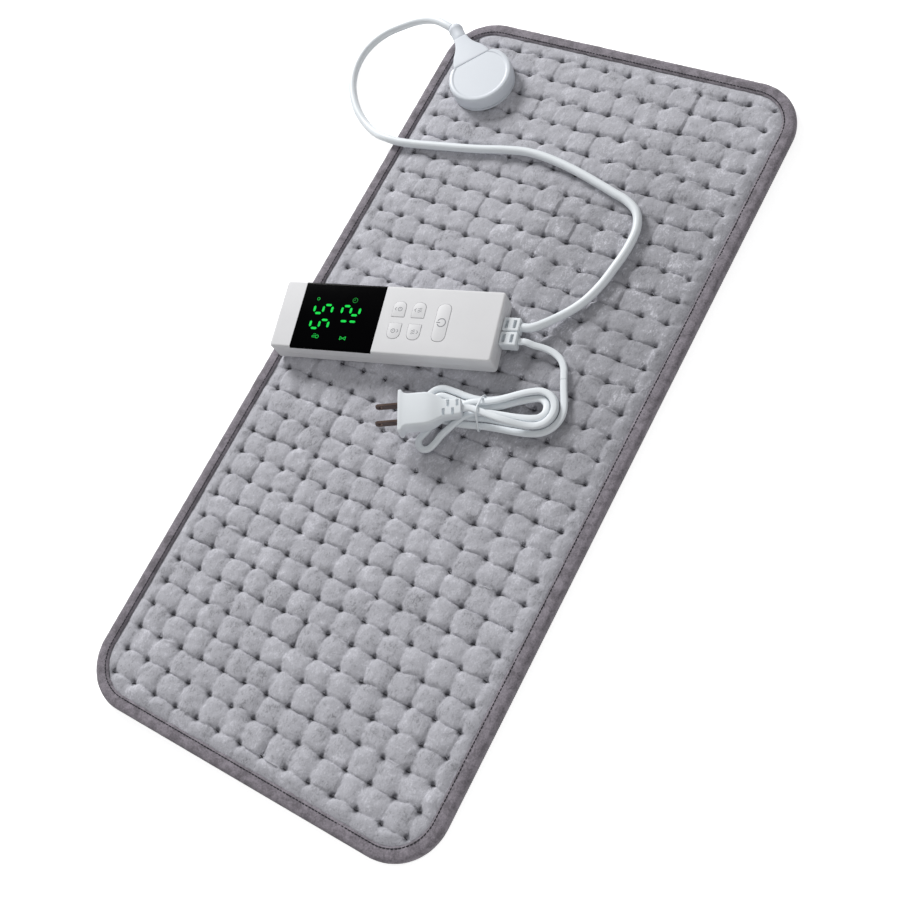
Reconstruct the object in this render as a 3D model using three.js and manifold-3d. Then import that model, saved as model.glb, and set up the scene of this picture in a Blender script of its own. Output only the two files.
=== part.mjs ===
import * as THREE from "three";
import { mergeVertices } from "three/addons/utils/BufferGeometryUtils.js";
import Module from "manifold-3d";

// A quilted heating pad with a hand controller, in millimetres.
// The pad lies flat with its underside on z = 0. X runs across it and Y along it.
// The origin is the middle of the pad's underside.

const wasm = await Module();
wasm.setup();

// Clearances
const fit = 0.3;
const overrun = 1;

// Pad: outline and layers, from the underside up
const padWidth = 290;
const padLength = 594;
const padCorner = 38;
const tapeWidth = 10;
const tapeHeight = 8.8;
const tapeWall = 1.2;
const tapeRound = 3;
const tapeFold = 2.4;
const backThickness = 1;
const backLip = 3;
const carrierThickness = 0.5;
const wireDiameter = 1.6;
const waddingThickness = 0.8;
const coverThickness = 1;
const puffHeight = 3.2;
const edgePuffHeight = 2.2;
const tuftPitchAcross = 19.13;
const tuftPitchAlong = 17.83;

const carrierBottom = backThickness + fit;
const carrierTop = carrierBottom + carrierThickness;
const wireBottom = carrierTop + fit;
const wireTop = wireBottom + wireDiameter;
const waddingBottom = wireTop + fit;
const waddingTop = waddingBottom + waddingThickness;
const coverBottom = waddingTop + fit;
const tuftLevel = coverBottom + coverThickness;
const crownLevel = tuftLevel + puffHeight;
const onPad = crownLevel + fit;

// Heating wire and thermal cut-outs
const wireRuns = 12;
const wireMargin = 17;
const wireEndMargin = 32;
const returnMargin = 20;
const wireKeepOut = 6;
const wireBendSteps = 6;
const wireStartAngle = THREE.MathUtils.degToRad(232);
const wireReturnAngle = THREE.MathUtils.degToRad(48);
const cutOutLength = 11;
const cutOutWidth = 5;
const cutOutHeight = 2.4;
const cutOutsFromEnd = 180;

// Connector in the pad's corner, turned so that its own X points the way the plug pulls out
const socketFromSide = 47.5;
const socketFromEnd = 56.7;
const connectorTurn = THREE.MathUtils.degToRad(140.3);
const socketRadius = 25;
const socketFlangeRadius = 29;
const socketFlangeThickness = 1.2;
const socketWaistRadius = 18;
const socketFloorThickness = 1.8;
const socketTopLevel = 22;
const socketWall = 2;
const socketRound = 2.2;
const roundShoulderShare = 0.3;
const socketMouth = 16.5;
const pinDiameter = 1.6;
const pinPitch = 6.4;
const pinCount = 3;
const pinLength = 20;
const pinBlockLength = 9;
const pinBlockBack = 6;
const contactDiameter = 3.2;
const contactBore = 2.3;
const contactLength = 10.5;
const noseWidth = 22;
const noseHeight = 5.8;
const noseLength = 12;
const plugHalfWidth = 15.2;
const plugShoulder = 28;
const plugShoulderBend = 5;
const plugShoulderHalf = 11.8;
const plugNeckStart = 41;
const plugNeckHalf = 5.1;
const plugEnd = 43.4;
const plugThickness = 11.2;
const plugRound = 1.6;
const plugGap = 0.4;
const bootLength = 18.2;
const bootRadius = 5.1;
const bootCollar = 3.4;
const bootWaistStart = 5;
const bootWaistRadius = 4.4;
const knobRadius = 5.7;
const knobSteps = 7;
const knobExitTurn = THREE.MathUtils.degToRad(24.7);
const bootSpigotRadius = 2.6;
const bootSpigotLength = 4;
const socketScrewBack = 11.5;
const socketScrewAside = 6.5;

// Controller, turned on the pad, with its own X from the capped end to the cords
const controllerAt = [-59.4, 26.9];
const controllerTurn = THREE.MathUtils.degToRad(15.4);
const controllerLength = 172;
const controllerWidth = 54;
const controllerHeight = 18;
const controllerCorner = 2.6;
const controllerRound = 1.8;
const shellWall = 2;
const topWall = 2.4;
const lowerShellHeight = 7.6;
const bossRadius = 3.2;
const bossFromEnd = 7;
const bossFromSide = 7;
const screwRadius = 1.2;
const screwHeadRadius = 2.3;
const screwHeadHeight = 1.6;
const screwReach = 4;
const windowFromEndShare = 0.0965;
const windowLengthShare = 0.378;
const windowFromEnd = windowFromEndShare * controllerLength;
const windowLength = windowLengthShare * controllerLength;
const windowThickness = 1.4;
const ledFromWindowEnd = 6.5;
const ledLength = windowLength - 2 * ledFromWindowEnd;
const ledWidth = 34;
const ledHeight = 6.4;
const boardThickness = 1.6;
const boardMarginEnd = 13;
const boardMarginSide = 4;
const boardLift = 5.2;
const boardRibWidth = 1.6;
const boardRibFromEnd = 26;
const boardRibLength = controllerLength - 2 * boardRibFromEnd;
const boardRibOffset = 13.5;

// Keys, counted from the display towards the cords
const keyRowFromEndShare = 0.554;
const keyRowPitchShare = 0.0884;
const powerRowFromEndShare = 0.7535;
const keyLengthShare = 0.0605;
const powerKeyLengthShare = 0.0628;
const keyRowFromEnd = keyRowFromEndShare * controllerLength;
const keyRowPitch = keyRowPitchShare * controllerLength;
const powerRowFromEnd = powerRowFromEndShare * controllerLength;
const keyLength = keyLengthShare * controllerLength;
const powerKeyLength = powerKeyLengthShare * controllerLength;
const keyPairWidth = 30;
const keySplit = 4.6;
const keyCornerShare = 0.44;
const keyOuterCorner = keyCornerShare * keyLength;
const keyInnerCorner = 0.8;
const keyProud = 0.4;
const keyFlange = 1;
const keyFlangeThickness = 1.1;
const keyStemRadius = 1.8;
const switchSize = 6;
const switchHeight = 3.3;
const plungerRadius = 1.5;
const plungerProud = 0.9;
const plungerDepth = 1;
const wellDepth = 2;

// Parts on the circuit board's cord end
const boardPartOffset = 13.5;
const capacitorSize = [14, 9, 5.2];
const fuseRadius = 2.1;
const fuseLength = 16;
const triacSize = [9.5, 14, 4];

// Glands, side by side on the controller's end
const glandLength = 12.5;
const glandWidth = 10.4;
const glandHeight = 9;
const glandOffset = 5.5;
const glandNeckWidth = 6.6;
const glandNeckHeight = 6;
const glandCollar = 1.6;
const glandSlotLength = 2.8;
const glandSlotWidth = 6.6;
const glandSlotDepth = 2.2;
const glandSlotStart = 3;
const glandSlotPitch = 5.8;
const glandRound = 1;
const glandEdge = 0.5;

// Cords
const leadDiameter = 6.4;
const leadSides = 10;
const leadSteps = 46;
const mainsWidth = 5;
const mainsThickness = 3.2;
const mainsSteps = 12;

// Hank, in its own frame: X along it towards the large lobe, origin at the tie
const hankAt = [35.7, -6.6];
const hankTurn = THREE.MathUtils.degToRad(18);
const hankTurnsIn = 2;
const hankTurns = 3;
const hankGap = 0.5;
const hankStep = 5.7;
const hankWaistHalf = 1.2;
const largeLobeAt = 38.8;
const largeLobeRadius = 7.1;
const lowerLobeAt = 31.6;
const upperLobeAt = 44.9;
const smallLobeRadius = 2.9;
const lobeBend = 20;
const largeLobeSwing = THREE.MathUtils.degToRad(6);
const lowerLobeSwing = THREE.MathUtils.degToRad(-14);
const upperLobeSwing = THREE.MathUtils.degToRad(45);
const droopFrom = 32;
const droopTo = 44;
const stepsPerLoop = 24;
const capShare = 1 / 4;
const climbShare = 1 / 2;
const leftPassShare = 1 / 4;
const rightPassShare = 3 / 4;
const exitSteps = 9;
const exitClimbShare = 0.6;
const exitStraightShare = 0.35;
const turnedAwayLength = 15;
const tieWidth = 1.5;
const tieThickness = 1;

// Mains plug, with its own X from the cord to the blades
const plugTurn = THREE.MathUtils.degToRad(209.4);
const plugTilt = THREE.MathUtils.degToRad(7.5);
const mainsPlugAt = [26.2, -12.7];
const mainsPlugLength = 43.5;
const mainsPlugHalf = 12.5;
const mainsFlangeHalf = 15.6;
const mainsTailHalf = 6.2;
const mainsTailLength = 13;
const mainsTailTaper = 1;
const tailSlotLength = 1.9;
const tailSlotWidth = 5.2;
const tailSlotPitch = 3.2;
const tailSlotCount = 4;
const tailSlotStart = 2.6;
const mainsBodyStart = 23;
const mainsBodyBend = 1;
const mainsFlareStart = 37.5;
const mainsFlangeThickness = 2.4;
const mainsPlugThickness = 13.4;
const mainsTailThickness = 8.6;
const mainsPlugRound = 1.6;
const bladeSpacing = 12.7;
const bladeHeight = 6.35;
const bladeThickness = 1.5;
const bladeReach = 16.5;
const bladeSeat = 8;
const bladeHoleRadius = 1.6;
const bladeHoleFromTip = 3.4;

// Materials
const finish = (color, roughness, metalness = 0) =>
  new THREE.MeshStandardMaterial({ color, roughness, metalness });
const plush = finish(0x9d9da2, 1);
const backCloth = finish(0x8e8e93, 1);
const tapeCloth = finish(0x767077, 0.95);
const paleFelt = finish(0xe9e7e1, 1);
const wireRed = finish(0xb8483c, 0.6);
const whitePlastic = finish(0xf0f0f1, 0.35);
const coolPlastic = finish(0xe6e9f0, 0.3);
const softPlastic = finish(0xe8eaec, 0.5);
const blackGlass = finish(0x050607, 0.12);
const darkPlastic = finish(0x202225, 0.5);
const boardGreen = finish(0x2a6b45, 0.6);
const brass = finish(0xb58a4c, 0.35, 1);
const steel = finish(0xa9acb0, 0.4, 1);

// Solids from geometries
function solidOf(geometry) {
  const bare = geometry.clone();
  bare.deleteAttribute("normal");
  bare.deleteAttribute("uv");
  const merged = mergeVertices(bare);
  return new wasm.Manifold(new wasm.Mesh({
    numProp: 3,
    vertProperties: new Float32Array(merged.attributes.position.array),
    triVerts: new Uint32Array(merged.index.array),
  }));
}

function geometryOf(solid) {
  const mesh = solid.getMesh();
  const geometry = new THREE.BufferGeometry();
  geometry.setAttribute("position", new THREE.BufferAttribute(mesh.vertProperties, 3));
  geometry.setIndex(new THREE.BufferAttribute(mesh.triVerts, 1));
  return geometry;
}

function cut(geometry, ...tools) {
  const start = solidOf(geometry);
  return geometryOf(tools.reduce((solid, tool) => solid.subtract(solidOf(tool)), start));
}

function join(geometry, ...others) {
  const start = solidOf(geometry);
  return geometryOf(others.reduce((solid, other) => solid.add(solidOf(other)), start));
}

function common(geometry, other) {
  return geometryOf(solidOf(geometry).intersect(solidOf(other)));
}

// Basic forms, each with its height range given
function block(sizeX, sizeY, low, high, x = 0, y = 0) {
  return new THREE.BoxGeometry(sizeX, sizeY, high - low).translate(x, y, (low + high) / 2);
}

function slab(shape, low, high, curveSegments = 4) {
  const options = { depth: high - low, bevelEnabled: false, curveSegments };
  return new THREE.ExtrudeGeometry(shape, options).translate(0, 0, low);
}

function post(radius, low, high, x = 0, y = 0, sides = 16) {
  const cylinder = new THREE.CylinderGeometry(radius, radius, high - low, sides);
  return cylinder.rotateX(Math.PI / 2).translate(x, y, (low + high) / 2);
}

function rod(radius, from, to, y, z, sides = 12) {
  const cylinder = new THREE.CylinderGeometry(radius, radius, to - from, sides);
  return cylinder.rotateZ(-Math.PI / 2).translate((from + to) / 2, y, z);
}

function turned(profile, sides) {
  const points = profile.map(([radius, z]) => new THREE.Vector2(radius, z));
  return new THREE.LatheGeometry(points, sides).rotateX(Math.PI / 2);
}

// An outline given by how far it lies inside its full size, rounded at top and bottom
function pillow(outline, low, high, round, curveSegments = 4, bevelSegments = 2) {
  const options = {
    depth: high - low - 2 * round,
    bevelThickness: round,
    bevelSize: round,
    bevelSegments,
    curveSegments,
  };
  return new THREE.ExtrudeGeometry(outline(round), options).translate(0, 0, low + round);
}

function roundedRectangle(width, height, corner, x = 0, y = 0) {
  return roundedPanel(x - width / 2, x + width / 2, y - height / 2, y + height / 2, corner, corner);
}

// A rectangle with one corner radius along its low Y side and another along its high one
function roundedPanel(left, right, low, high, lowCorner, highCorner) {
  const shape = new THREE.Shape();
  const quarter = Math.PI / 2;
  shape.moveTo(left + lowCorner, low);
  shape.lineTo(right - lowCorner, low);
  shape.absarc(right - lowCorner, low + lowCorner, lowCorner, -quarter, 0, false);
  shape.lineTo(right, high - highCorner);
  shape.absarc(right - highCorner, high - highCorner, highCorner, 0, quarter, false);
  shape.lineTo(left + highCorner, high);
  shape.absarc(left + highCorner, high - highCorner, highCorner, quarter, 2 * quarter, false);
  shape.lineTo(left, low + lowCorner);
  shape.absarc(left + lowCorner, low + lowCorner, lowCorner, 2 * quarter, 3 * quarter, false);
  return shape;
}

// A tube's path that keeps its section level, with a ring at each station
class LevelPath extends THREE.Curve {
  constructor(stations) {
    super();
    this.stations = stations;
  }

  getUtoTmapping(u) {
    return u;
  }

  getPoint(t, target = new THREE.Vector3()) {
    const last = this.stations.length - 1;
    const index = Math.min(Math.round(t * last), last - 1);
    return target.lerpVectors(this.stations[index], this.stations[index + 1], t * last - index);
  }

  computeFrenetFrames(segments) {
    const frames = { tangents: [], normals: [], binormals: [] };
    const up = new THREE.Vector3(0, 0, 1);
    for (let ring = 0; ring <= segments; ring += 1) {
      const before = this.stations[Math.max(ring - 1, 0)];
      const here = this.stations[ring];
      const after = this.stations[Math.min(ring + 1, segments)];
      const arriving = here.clone().sub(before).normalize();
      const leaving = after.clone().sub(here).normalize();
      const tangent = arriving.add(leaving).normalize();
      const side = up.clone().cross(tangent).normalize();
      frames.tangents.push(tangent);
      frames.normals.push(side);
      frames.binormals.push(tangent.clone().cross(side));
    }
    return frames;
  }
}

function tube(stations, section) {
  const path = new LevelPath(stations);
  const options = { steps: stations.length - 1, extrudePath: path };
  return new THREE.ExtrudeGeometry(section, options);
}

function ovalSection(width, thickness, sides) {
  const shape = new THREE.Shape();
  for (let side = 0; side < sides; side += 1) {
    const angle = ((side + 0.5) / sides) * 2 * Math.PI;
    const reach = 1 / Math.cos(Math.PI / sides);
    const x = (width / 2) * reach * Math.cos(angle);
    const y = (thickness / 2) * reach * Math.sin(angle);
    if (side === 0) shape.moveTo(x, y);
    else shape.lineTo(x, y);
  }
  shape.closePath();
  return shape;
}

// A flat twin cord's section, with flat faces above and below
function flatSection(width, thickness, sideFace) {
  const half = width / 2;
  const top = thickness / 2;
  const shoulder = half - thickness / 3;
  const right = [[half, -sideFace / 2], [half, sideFace / 2]].slice(sideFace > 0 ? 0 : 1);
  const quarter = [...right, [shoulder, top]];
  const rest = quarter.map(([x, y]) => [-x, -y]);
  const points = [[shoulder, -top], ...quarter, [-shoulder, top], ...rest];
  return new THREE.Shape(points.map(([x, y]) => new THREE.Vector2(x, y)));
}

function stationsAlong(points, steps) {
  const curve = new THREE.CatmullRomCurve3(points, false, "centripetal");
  return curve.getSpacedPoints(steps);
}

function part(name, geometry, material) {
  const mesh = new THREE.Mesh(geometry, material);
  mesh.name = name;
  return mesh;
}

// Pad
const padOutline = (inset) =>
  roundedRectangle(padWidth - 2 * inset, padLength - 2 * inset, padCorner - inset);
const padCurve = 6;
const socketAt = [socketFromSide - padWidth / 2, padLength / 2 - socketFromEnd];

function edgeBinding() {
  const roll = pillow(padOutline, 0, tapeHeight, tapeRound, padCurve);
  const middle = slab(padOutline(tapeWidth), -overrun, tapeHeight + overrun, padCurve);
  const fold = slab(padOutline(tapeFold), tapeWall, tapeHeight - tapeWall, padCurve);
  return cut(roll, middle, fold);
}

function backCover() {
  const inside = tapeWidth + fit;
  const sheet = slab(padOutline(inside), 0, backThickness, padCurve);
  const step = slab(padOutline(inside), 0, tapeWall + fit + backThickness, padCurve);
  const stepHollow = slab(padOutline(inside + backLip), backThickness, tapeHeight, padCurve);
  const lip = slab(
    padOutline(tapeFold + fit), tapeWall + fit, tapeWall + fit + backThickness, padCurve);
  const lipHollow = slab(padOutline(inside + backLip), 0, tapeHeight, padCurve);
  return join(sheet, cut(step, stepHollow), cut(lip, lipHollow));
}

function heaterCarrier() {
  return slab(padOutline(tapeWidth + 2 * fit + backLip), carrierBottom, carrierTop, padCurve);
}

function waddingSheet() {
  const sheet = slab(padOutline(tapeFold + fit), waddingBottom, waddingTop, padCurve);
  const hole = post(socketFlangeRadius + fit, 0, coverBottom, ...socketAt, 32);
  const pockets = cutOutPlaces().map(([x, y]) => {
    const growth = 2 * fit;
    return block(cutOutWidth + growth, cutOutLength + growth, 0, coverBottom, x, y);
  });
  return cut(sheet, hole, ...pockets);
}

// The quilting: a grid of tufts with a puff in each cell between them
function gridLines(length, pitch) {
  const inside = length - 2 * (tapeWidth + fit);
  const count = Math.floor(inside / pitch);
  const lines = Array.from({ length: count }, (_, i) => (i - (count - 1) / 2) * pitch);
  return [-inside / 2 - overrun, ...lines, inside / 2 + overrun];
}

function quilt() {
  const columns = gridLines(padWidth, tuftPitchAcross);
  const rows = gridLines(padLength, tuftPitchAlong);
  const positions = [];
  const triangles = [];
  const lastColumn = columns.length - 1;
  const lastRow = rows.length - 1;
  const corner = (i, j) => j * columns.length + i;
  for (const y of rows) {
    for (const x of columns) {
      positions.push(x, y, tuftLevel);
    }
  }
  for (let j = 0; j < lastRow; j += 1) {
    for (let i = 0; i < lastColumn; i += 1) {
      const atEdge = i === 0 || j === 0 || i === lastColumn - 1 || j === lastRow - 1;
      const crown = tuftLevel + (atEdge ? edgePuffHeight : puffHeight);
      const centre = positions.length / 3;
      positions.push((columns[i] + columns[i + 1]) / 2, (rows[j] + rows[j + 1]) / 2, crown);
      const ring = [corner(i, j), corner(i + 1, j), corner(i + 1, j + 1), corner(i, j + 1)];
      ring.forEach((vertex, k) => triangles.push(vertex, ring[(k + 1) % 4], centre));
    }
  }
  const base = positions.length / 3;
  for (const [i, j] of [[0, 0], [lastColumn, 0], [lastColumn, lastRow], [0, lastRow]]) {
    positions.push(columns[i], rows[j], coverBottom);
  }
  const sides = [
    columns.map((_, i) => corner(i, 0)),
    rows.map((_, j) => corner(lastColumn, j)),
    columns.map((_, i) => corner(lastColumn - i, lastRow)),
    rows.map((_, j) => corner(0, lastRow - j)),
  ];
  sides.forEach((edge, k) => {
    const start = base + k;
    const end = base + ((k + 1) % 4);
    triangles.push(start, end, edge[edge.length - 1]);
    for (let i = 0; i + 1 < edge.length; i += 1) {
      triangles.push(start, edge[i + 1], edge[i]);
    }
  });
  triangles.push(base, base + 2, base + 1, base, base + 3, base + 2);
  const geometry = new THREE.BufferGeometry();
  geometry.setAttribute("position", new THREE.Float32BufferAttribute(positions, 3));
  geometry.setIndex(triangles);
  return geometry;
}

function quiltedCover() {
  const outline = slab(padOutline(tapeWidth + fit), 0, crownLevel + overrun, padCurve);
  const lip = slab(padOutline(tapeFold + fit), coverBottom, tuftLevel, padCurve);
  const hole = post(socketWaistRadius + fit, 0, crownLevel + overrun, ...socketAt, 24);
  return cut(join(common(quilt(), outline), lip), hole);
}

// Heating wire: runs along the pad, kept clear of the socket, with both ends at its flange
function heatingWire() {
  const level = (wireBottom + wireTop) / 2;
  const side = padWidth / 2 - wireMargin;
  const pitch = (2 * side) / (wireRuns - 1);
  const bottom = -padLength / 2 + wireEndMargin;
  const top = padLength / 2 - wireEndMargin;
  const [socketX, socketY] = socketAt;
  const keepOut = socketFlangeRadius + wireKeepOut;
  const seat = socketFlangeRadius + fit;
  const besideSocket = (x) => Math.abs(x - socketX) < keepOut + pitch;
  const runTop = (x) => (besideSocket(x) ? socketY - keepOut - pitch / 2 : top);
  const stations = [];
  const add = (x, y) => stations.push(new THREE.Vector3(x, y, level));
  const bend = (x, y, way) => {
    for (let step = 0; step <= wireBendSteps; step += 1) {
      const angle = (step / wireBendSteps) * Math.PI;
      add(x - (pitch / 2) * Math.cos(angle), y + way * (pitch / 2) * Math.sin(angle));
    }
  };
  add(socketX + seat * Math.cos(wireStartAngle), socketY + seat * Math.sin(wireStartAngle));
  for (let run = 0; run < wireRuns - 1; run += 1) {
    const x = -side + (run + 0.5) * pitch;
    if (run === 0) add(-side, runTop(-side));
    if (run % 2 === 0) bend(x, bottom + pitch / 2, -1);
    else bend(x, Math.min(runTop(x - pitch / 2), runTop(x + pitch / 2)) - pitch / 2, 1);
  }
  const returnLevel = padLength / 2 - returnMargin;
  add(side, returnLevel - pitch / 2);
  add(side - pitch / 2, returnLevel);
  add(socketX + keepOut, returnLevel);
  add(socketX + seat * Math.cos(wireReturnAngle), socketY + seat * Math.sin(wireReturnAngle));
  return tube(stations, ovalSection(wireDiameter, wireDiameter, 6));
}

function cutOutPlaces() {
  const side = padWidth / 2 - wireMargin;
  const pitch = (2 * side) / (wireRuns - 1);
  const y = padLength / 2 - cutOutsFromEnd;
  return [[-pitch, y], [pitch, -y]];
}

function thermalCutOut([x, y]) {
  const outline = roundedRectangle(cutOutWidth, cutOutLength, carrierThickness, x, y);
  return slab(outline, wireBottom, wireBottom + cutOutHeight, 2);
}

const pad = new THREE.Group();
pad.add(part("back_cover", backCover(), backCloth));
pad.add(part("heater_carrier", heaterCarrier(), paleFelt));
pad.add(part("heating_wire", heatingWire(), wireRed));
cutOutPlaces().forEach((place, i) => {
  pad.add(part(`thermal_cut_out_${i + 1}`, thermalCutOut(place), darkPlastic));
});
pad.add(part("wadding", waddingSheet(), paleFelt));
pad.add(part("quilted_cover", quiltedCover(), plush));
pad.add(part("edge_binding", edgeBinding(), tapeCloth));

// Connector on the pad's corner
const floorBottom = onPad;
const floorTop = floorBottom + socketFloorThickness;
const domeBottom = floorTop + fit;
const domeCeiling = socketTopLevel - socketWall;
const noseLevel = (floorTop + domeCeiling) / 2;
const pinPlaces = Array.from({ length: pinCount }, (_, i) => (i - (pinCount - 1) / 2) * pinPitch);
const socketSides = 40;
const screwPlaces = [-1, 1].map((way) => [-socketScrewBack, way * socketScrewAside]);
const flangeBottom = carrierTop + fit;
const flangeTop = flangeBottom + socketFlangeThickness;

function mouthCut(low, high) {
  const reach = 2 * socketRadius;
  return block(reach, reach, low, high, socketMouth + reach / 2, 0);
}

function socketBase() {
  const spool = turned([
    [0, flangeBottom], [socketFlangeRadius, flangeBottom], [socketFlangeRadius, flangeTop],
    [socketWaistRadius, flangeTop], [socketWaistRadius, floorBottom],
    [socketRadius, floorBottom], [socketRadius, floorTop], [0, floorTop],
  ], socketSides);
  const half = (pinPitch * pinCount) / 2;
  const pinBlock = block(pinBlockLength, 2 * half, floorTop - overrun, noseLevel + contactDiameter,
    pinBlockLength / 2 - pinBlockBack, 0);
  const pinHoles = pinPlaces.map((y) =>
    rod(pinDiameter / 2 + fit, -socketRadius, socketRadius, y, noseLevel));
  const screwHoles = screwPlaces.flatMap(([x, y]) => [
    post(screwRadius + fit, 0, floorTop + overrun, x, y),
    post(screwHeadRadius + fit, 0, flangeBottom + screwHeadHeight + fit, x, y),
  ]);
  const body = cut(spool, mouthCut(floorBottom - fit, floorTop + overrun), ...screwHoles);
  return join(body, cut(pinBlock, ...pinHoles));
}

function socketCover() {
  const inner = socketRadius - socketWall;
  const shoulder = socketRound * roundShoulderShare;
  const dome = turned([
    [0, domeBottom], [socketRadius, domeBottom], [socketRadius, socketTopLevel - socketRound],
    [socketRadius - shoulder, socketTopLevel - shoulder],
    [socketRadius - socketRound, socketTopLevel], [0, socketTopLevel],
  ], socketSides);
  const hollow = post(inner, domeBottom - overrun, domeCeiling, 0, 0, socketSides);
  const frontWall = common(
    post(socketRadius - socketWall / 2, domeBottom, domeCeiling + overrun, 0, 0, socketSides),
    block(socketWall, 2 * socketRadius, domeBottom, domeCeiling + overrun, socketMouth - socketWall / 2, 0));
  const bosses = screwPlaces.map(([x, y]) => post(bossRadius, domeBottom, domeCeiling + overrun, x, y));
  const bores = screwPlaces.map(([x, y]) =>
    post(screwRadius + fit, 0, domeBottom + screwReach + fit, x, y));
  const slot = block(noseLength, noseWidth + 2 * fit,
    noseLevel - noseHeight / 2 - fit, noseLevel + noseHeight / 2 + fit, socketMouth, 0);
  const shell = cut(dome, hollow, mouthCut(0, socketTopLevel + overrun));
  return cut(join(shell, frontWall, ...bosses), slot, ...bores);
}

function socketPin(y) {
  return rod(pinDiameter / 2, -pinBlockBack - overrun, pinLength - pinBlockBack - overrun, y, noseLevel, 10);
}

function screw(x, y, headBottom, reach) {
  return turnedAt(x, y, [
    [0, headBottom], [screwHeadRadius, headBottom], [screwHeadRadius, headBottom + screwHeadHeight],
    [screwRadius, headBottom + screwHeadHeight], [screwRadius, reach], [0, reach],
  ]);
}

function turnedAt(x, y, profile) {
  return turned(profile, 12).translate(x, y, 0);
}

// The plug's plan narrows from its shoulders to the neck, and its side view to the boot
const plugFront = socketMouth + plugGap;

function plugPlan(inset) {
  const shape = new THREE.Shape();
  const front = plugFront + inset;
  const wide = plugHalfWidth - inset;
  const shoulder = plugShoulderHalf - inset;
  const neck = plugNeckHalf - inset;
  const end = plugEnd - inset;
  const middle = (plugShoulder + plugNeckStart) / 2;
  shape.moveTo(front, -wide);
  shape.quadraticCurveTo(plugShoulder - plugShoulderBend, -wide, plugShoulder, -shoulder);
  shape.quadraticCurveTo(middle, -neck, plugNeckStart, -neck);
  shape.lineTo(end, -neck);
  shape.lineTo(end, neck);
  shape.lineTo(plugNeckStart, neck);
  shape.quadraticCurveTo(middle, neck, plugShoulder, shoulder);
  shape.quadraticCurveTo(plugShoulder - plugShoulderBend, wide, front, wide);
  return shape;
}

const plugTop = socketTopLevel - fit;
const plugBottom = plugTop - plugThickness;
const plugMiddle = (plugTop + plugBottom) / 2;

function padPlug() {
  const body = pillow(plugPlan, plugBottom, plugTop, plugRound, 5);
  const nose = block(noseLength + overrun, noseWidth, noseLevel - noseHeight / 2,
    noseLevel + noseHeight / 2, plugFront + overrun - (noseLength + overrun) / 2, 0);
  const bores = pinPlaces.map((y) =>
    rod(contactDiameter / 2 + fit, plugFront - noseLength - overrun, plugFront + overrun, y, noseLevel));
  const bootBore = rod(bootSpigotRadius + fit, plugEnd - bootSpigotLength - fit,
    plugEnd + overrun, 0, plugMiddle);
  return cut(join(body, nose), ...bores, bootBore);
}

function plugContact(y) {
  const tip = plugFront - noseLength + fit;
  const sleeve = rod(contactDiameter / 2, tip, tip + contactLength, y, noseLevel);
  const bore = rod(contactBore / 2, tip - overrun, tip + contactLength - overrun, y, noseLevel);
  return cut(sleeve, bore);
}

// The boot ends in a ball, and the lead leaves the ball to one side
const knobMiddle = plugEnd + fit + bootLength - knobRadius;

function plugBoot() {
  const start = plugEnd + fit;
  const profile = [
    [0, -bootSpigotLength], [bootSpigotRadius, -bootSpigotLength], [bootSpigotRadius, 0],
    [bootRadius, 0], [bootRadius, bootCollar], [bootWaistRadius, bootWaistStart],
  ];
  const firstAngle = Math.PI - Math.asin(bootWaistRadius / knobRadius);
  for (let i = 0; i < knobSteps; i += 1) {
    const angle = firstAngle * (1 - i / knobSteps);
    const along = knobMiddle - start + knobRadius * Math.cos(angle);
    profile.push([knobRadius * Math.sin(angle), along]);
  }
  profile.push([0, bootLength]);
  return turned(profile, 16).rotateY(Math.PI / 2).translate(start, 0, plugMiddle);
}

const connector = new THREE.Group();
connector.position.set(...socketAt, 0);
connector.rotation.z = connectorTurn;
connector.add(part("socket_base", socketBase(), coolPlastic));
connector.add(part("socket_cover", socketCover(), coolPlastic));
pinPlaces.forEach((y, i) => {
  connector.add(part(`socket_pin_${i + 1}`, socketPin(y), brass));
  connector.add(part(`plug_contact_${i + 1}`, plugContact(y), brass));
});
screwPlaces.forEach(([x, y], i) => {
  const reach = domeBottom + screwReach;
  connector.add(part(`socket_screw_${i + 1}`, screw(x, y, flangeBottom, reach), steel));
});
connector.add(part("pad_plug", padPlug(), softPlastic));
connector.add(part("pad_plug_boot", plugBoot(), softPlastic));

// Controller: shells, window and what they hold
const shellBottom = onPad;
const partingLevel = shellBottom + lowerShellHeight;
const upperBottom = partingLevel + fit;
const shellTop = shellBottom + controllerHeight;
const ceiling = shellTop - topWall;
const shellFloor = shellBottom + shellWall;
const boardBottom = shellFloor + boardLift;
const boardTop = boardBottom + boardThickness;
const leftEnd = -controllerLength / 2;
const rightEnd = controllerLength / 2;
const windowLow = leftEnd + windowFromEnd;
const windowMiddle = windowLow + windowLength / 2;
const windowBottom = shellTop - windowThickness;
const bossPlaces = [-1, 1].flatMap((endWay) => [-1, 1].map((sideWay) => [
  endWay * (controllerLength / 2 - bossFromEnd),
  sideWay * (controllerWidth / 2 - bossFromSide),
]));
const glandLevel = partingLevel + fit / 2;

const controllerOutline = (inset) => roundedRectangle(
  controllerLength - 2 * inset, controllerWidth - 2 * inset, controllerCorner - inset);

const controllerBlock = () =>
  pillow(controllerOutline, shellBottom, shellTop, controllerRound, 2, 2);

function halfOf(geometry, low, high) {
  return common(geometry, block(controllerLength + overrun, controllerWidth + overrun, low, high));
}

// Keys, as the space each takes in plan
function keyPlan(key, growth) {
  const left = leftEnd + key.fromEnd - key.length / 2 - growth;
  const right = leftEnd + key.fromEnd + key.length / 2 + growth;
  return roundedPanel(left, right, key.low - growth, key.high + growth,
    key.lowCorner, key.highCorner);
}

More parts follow.
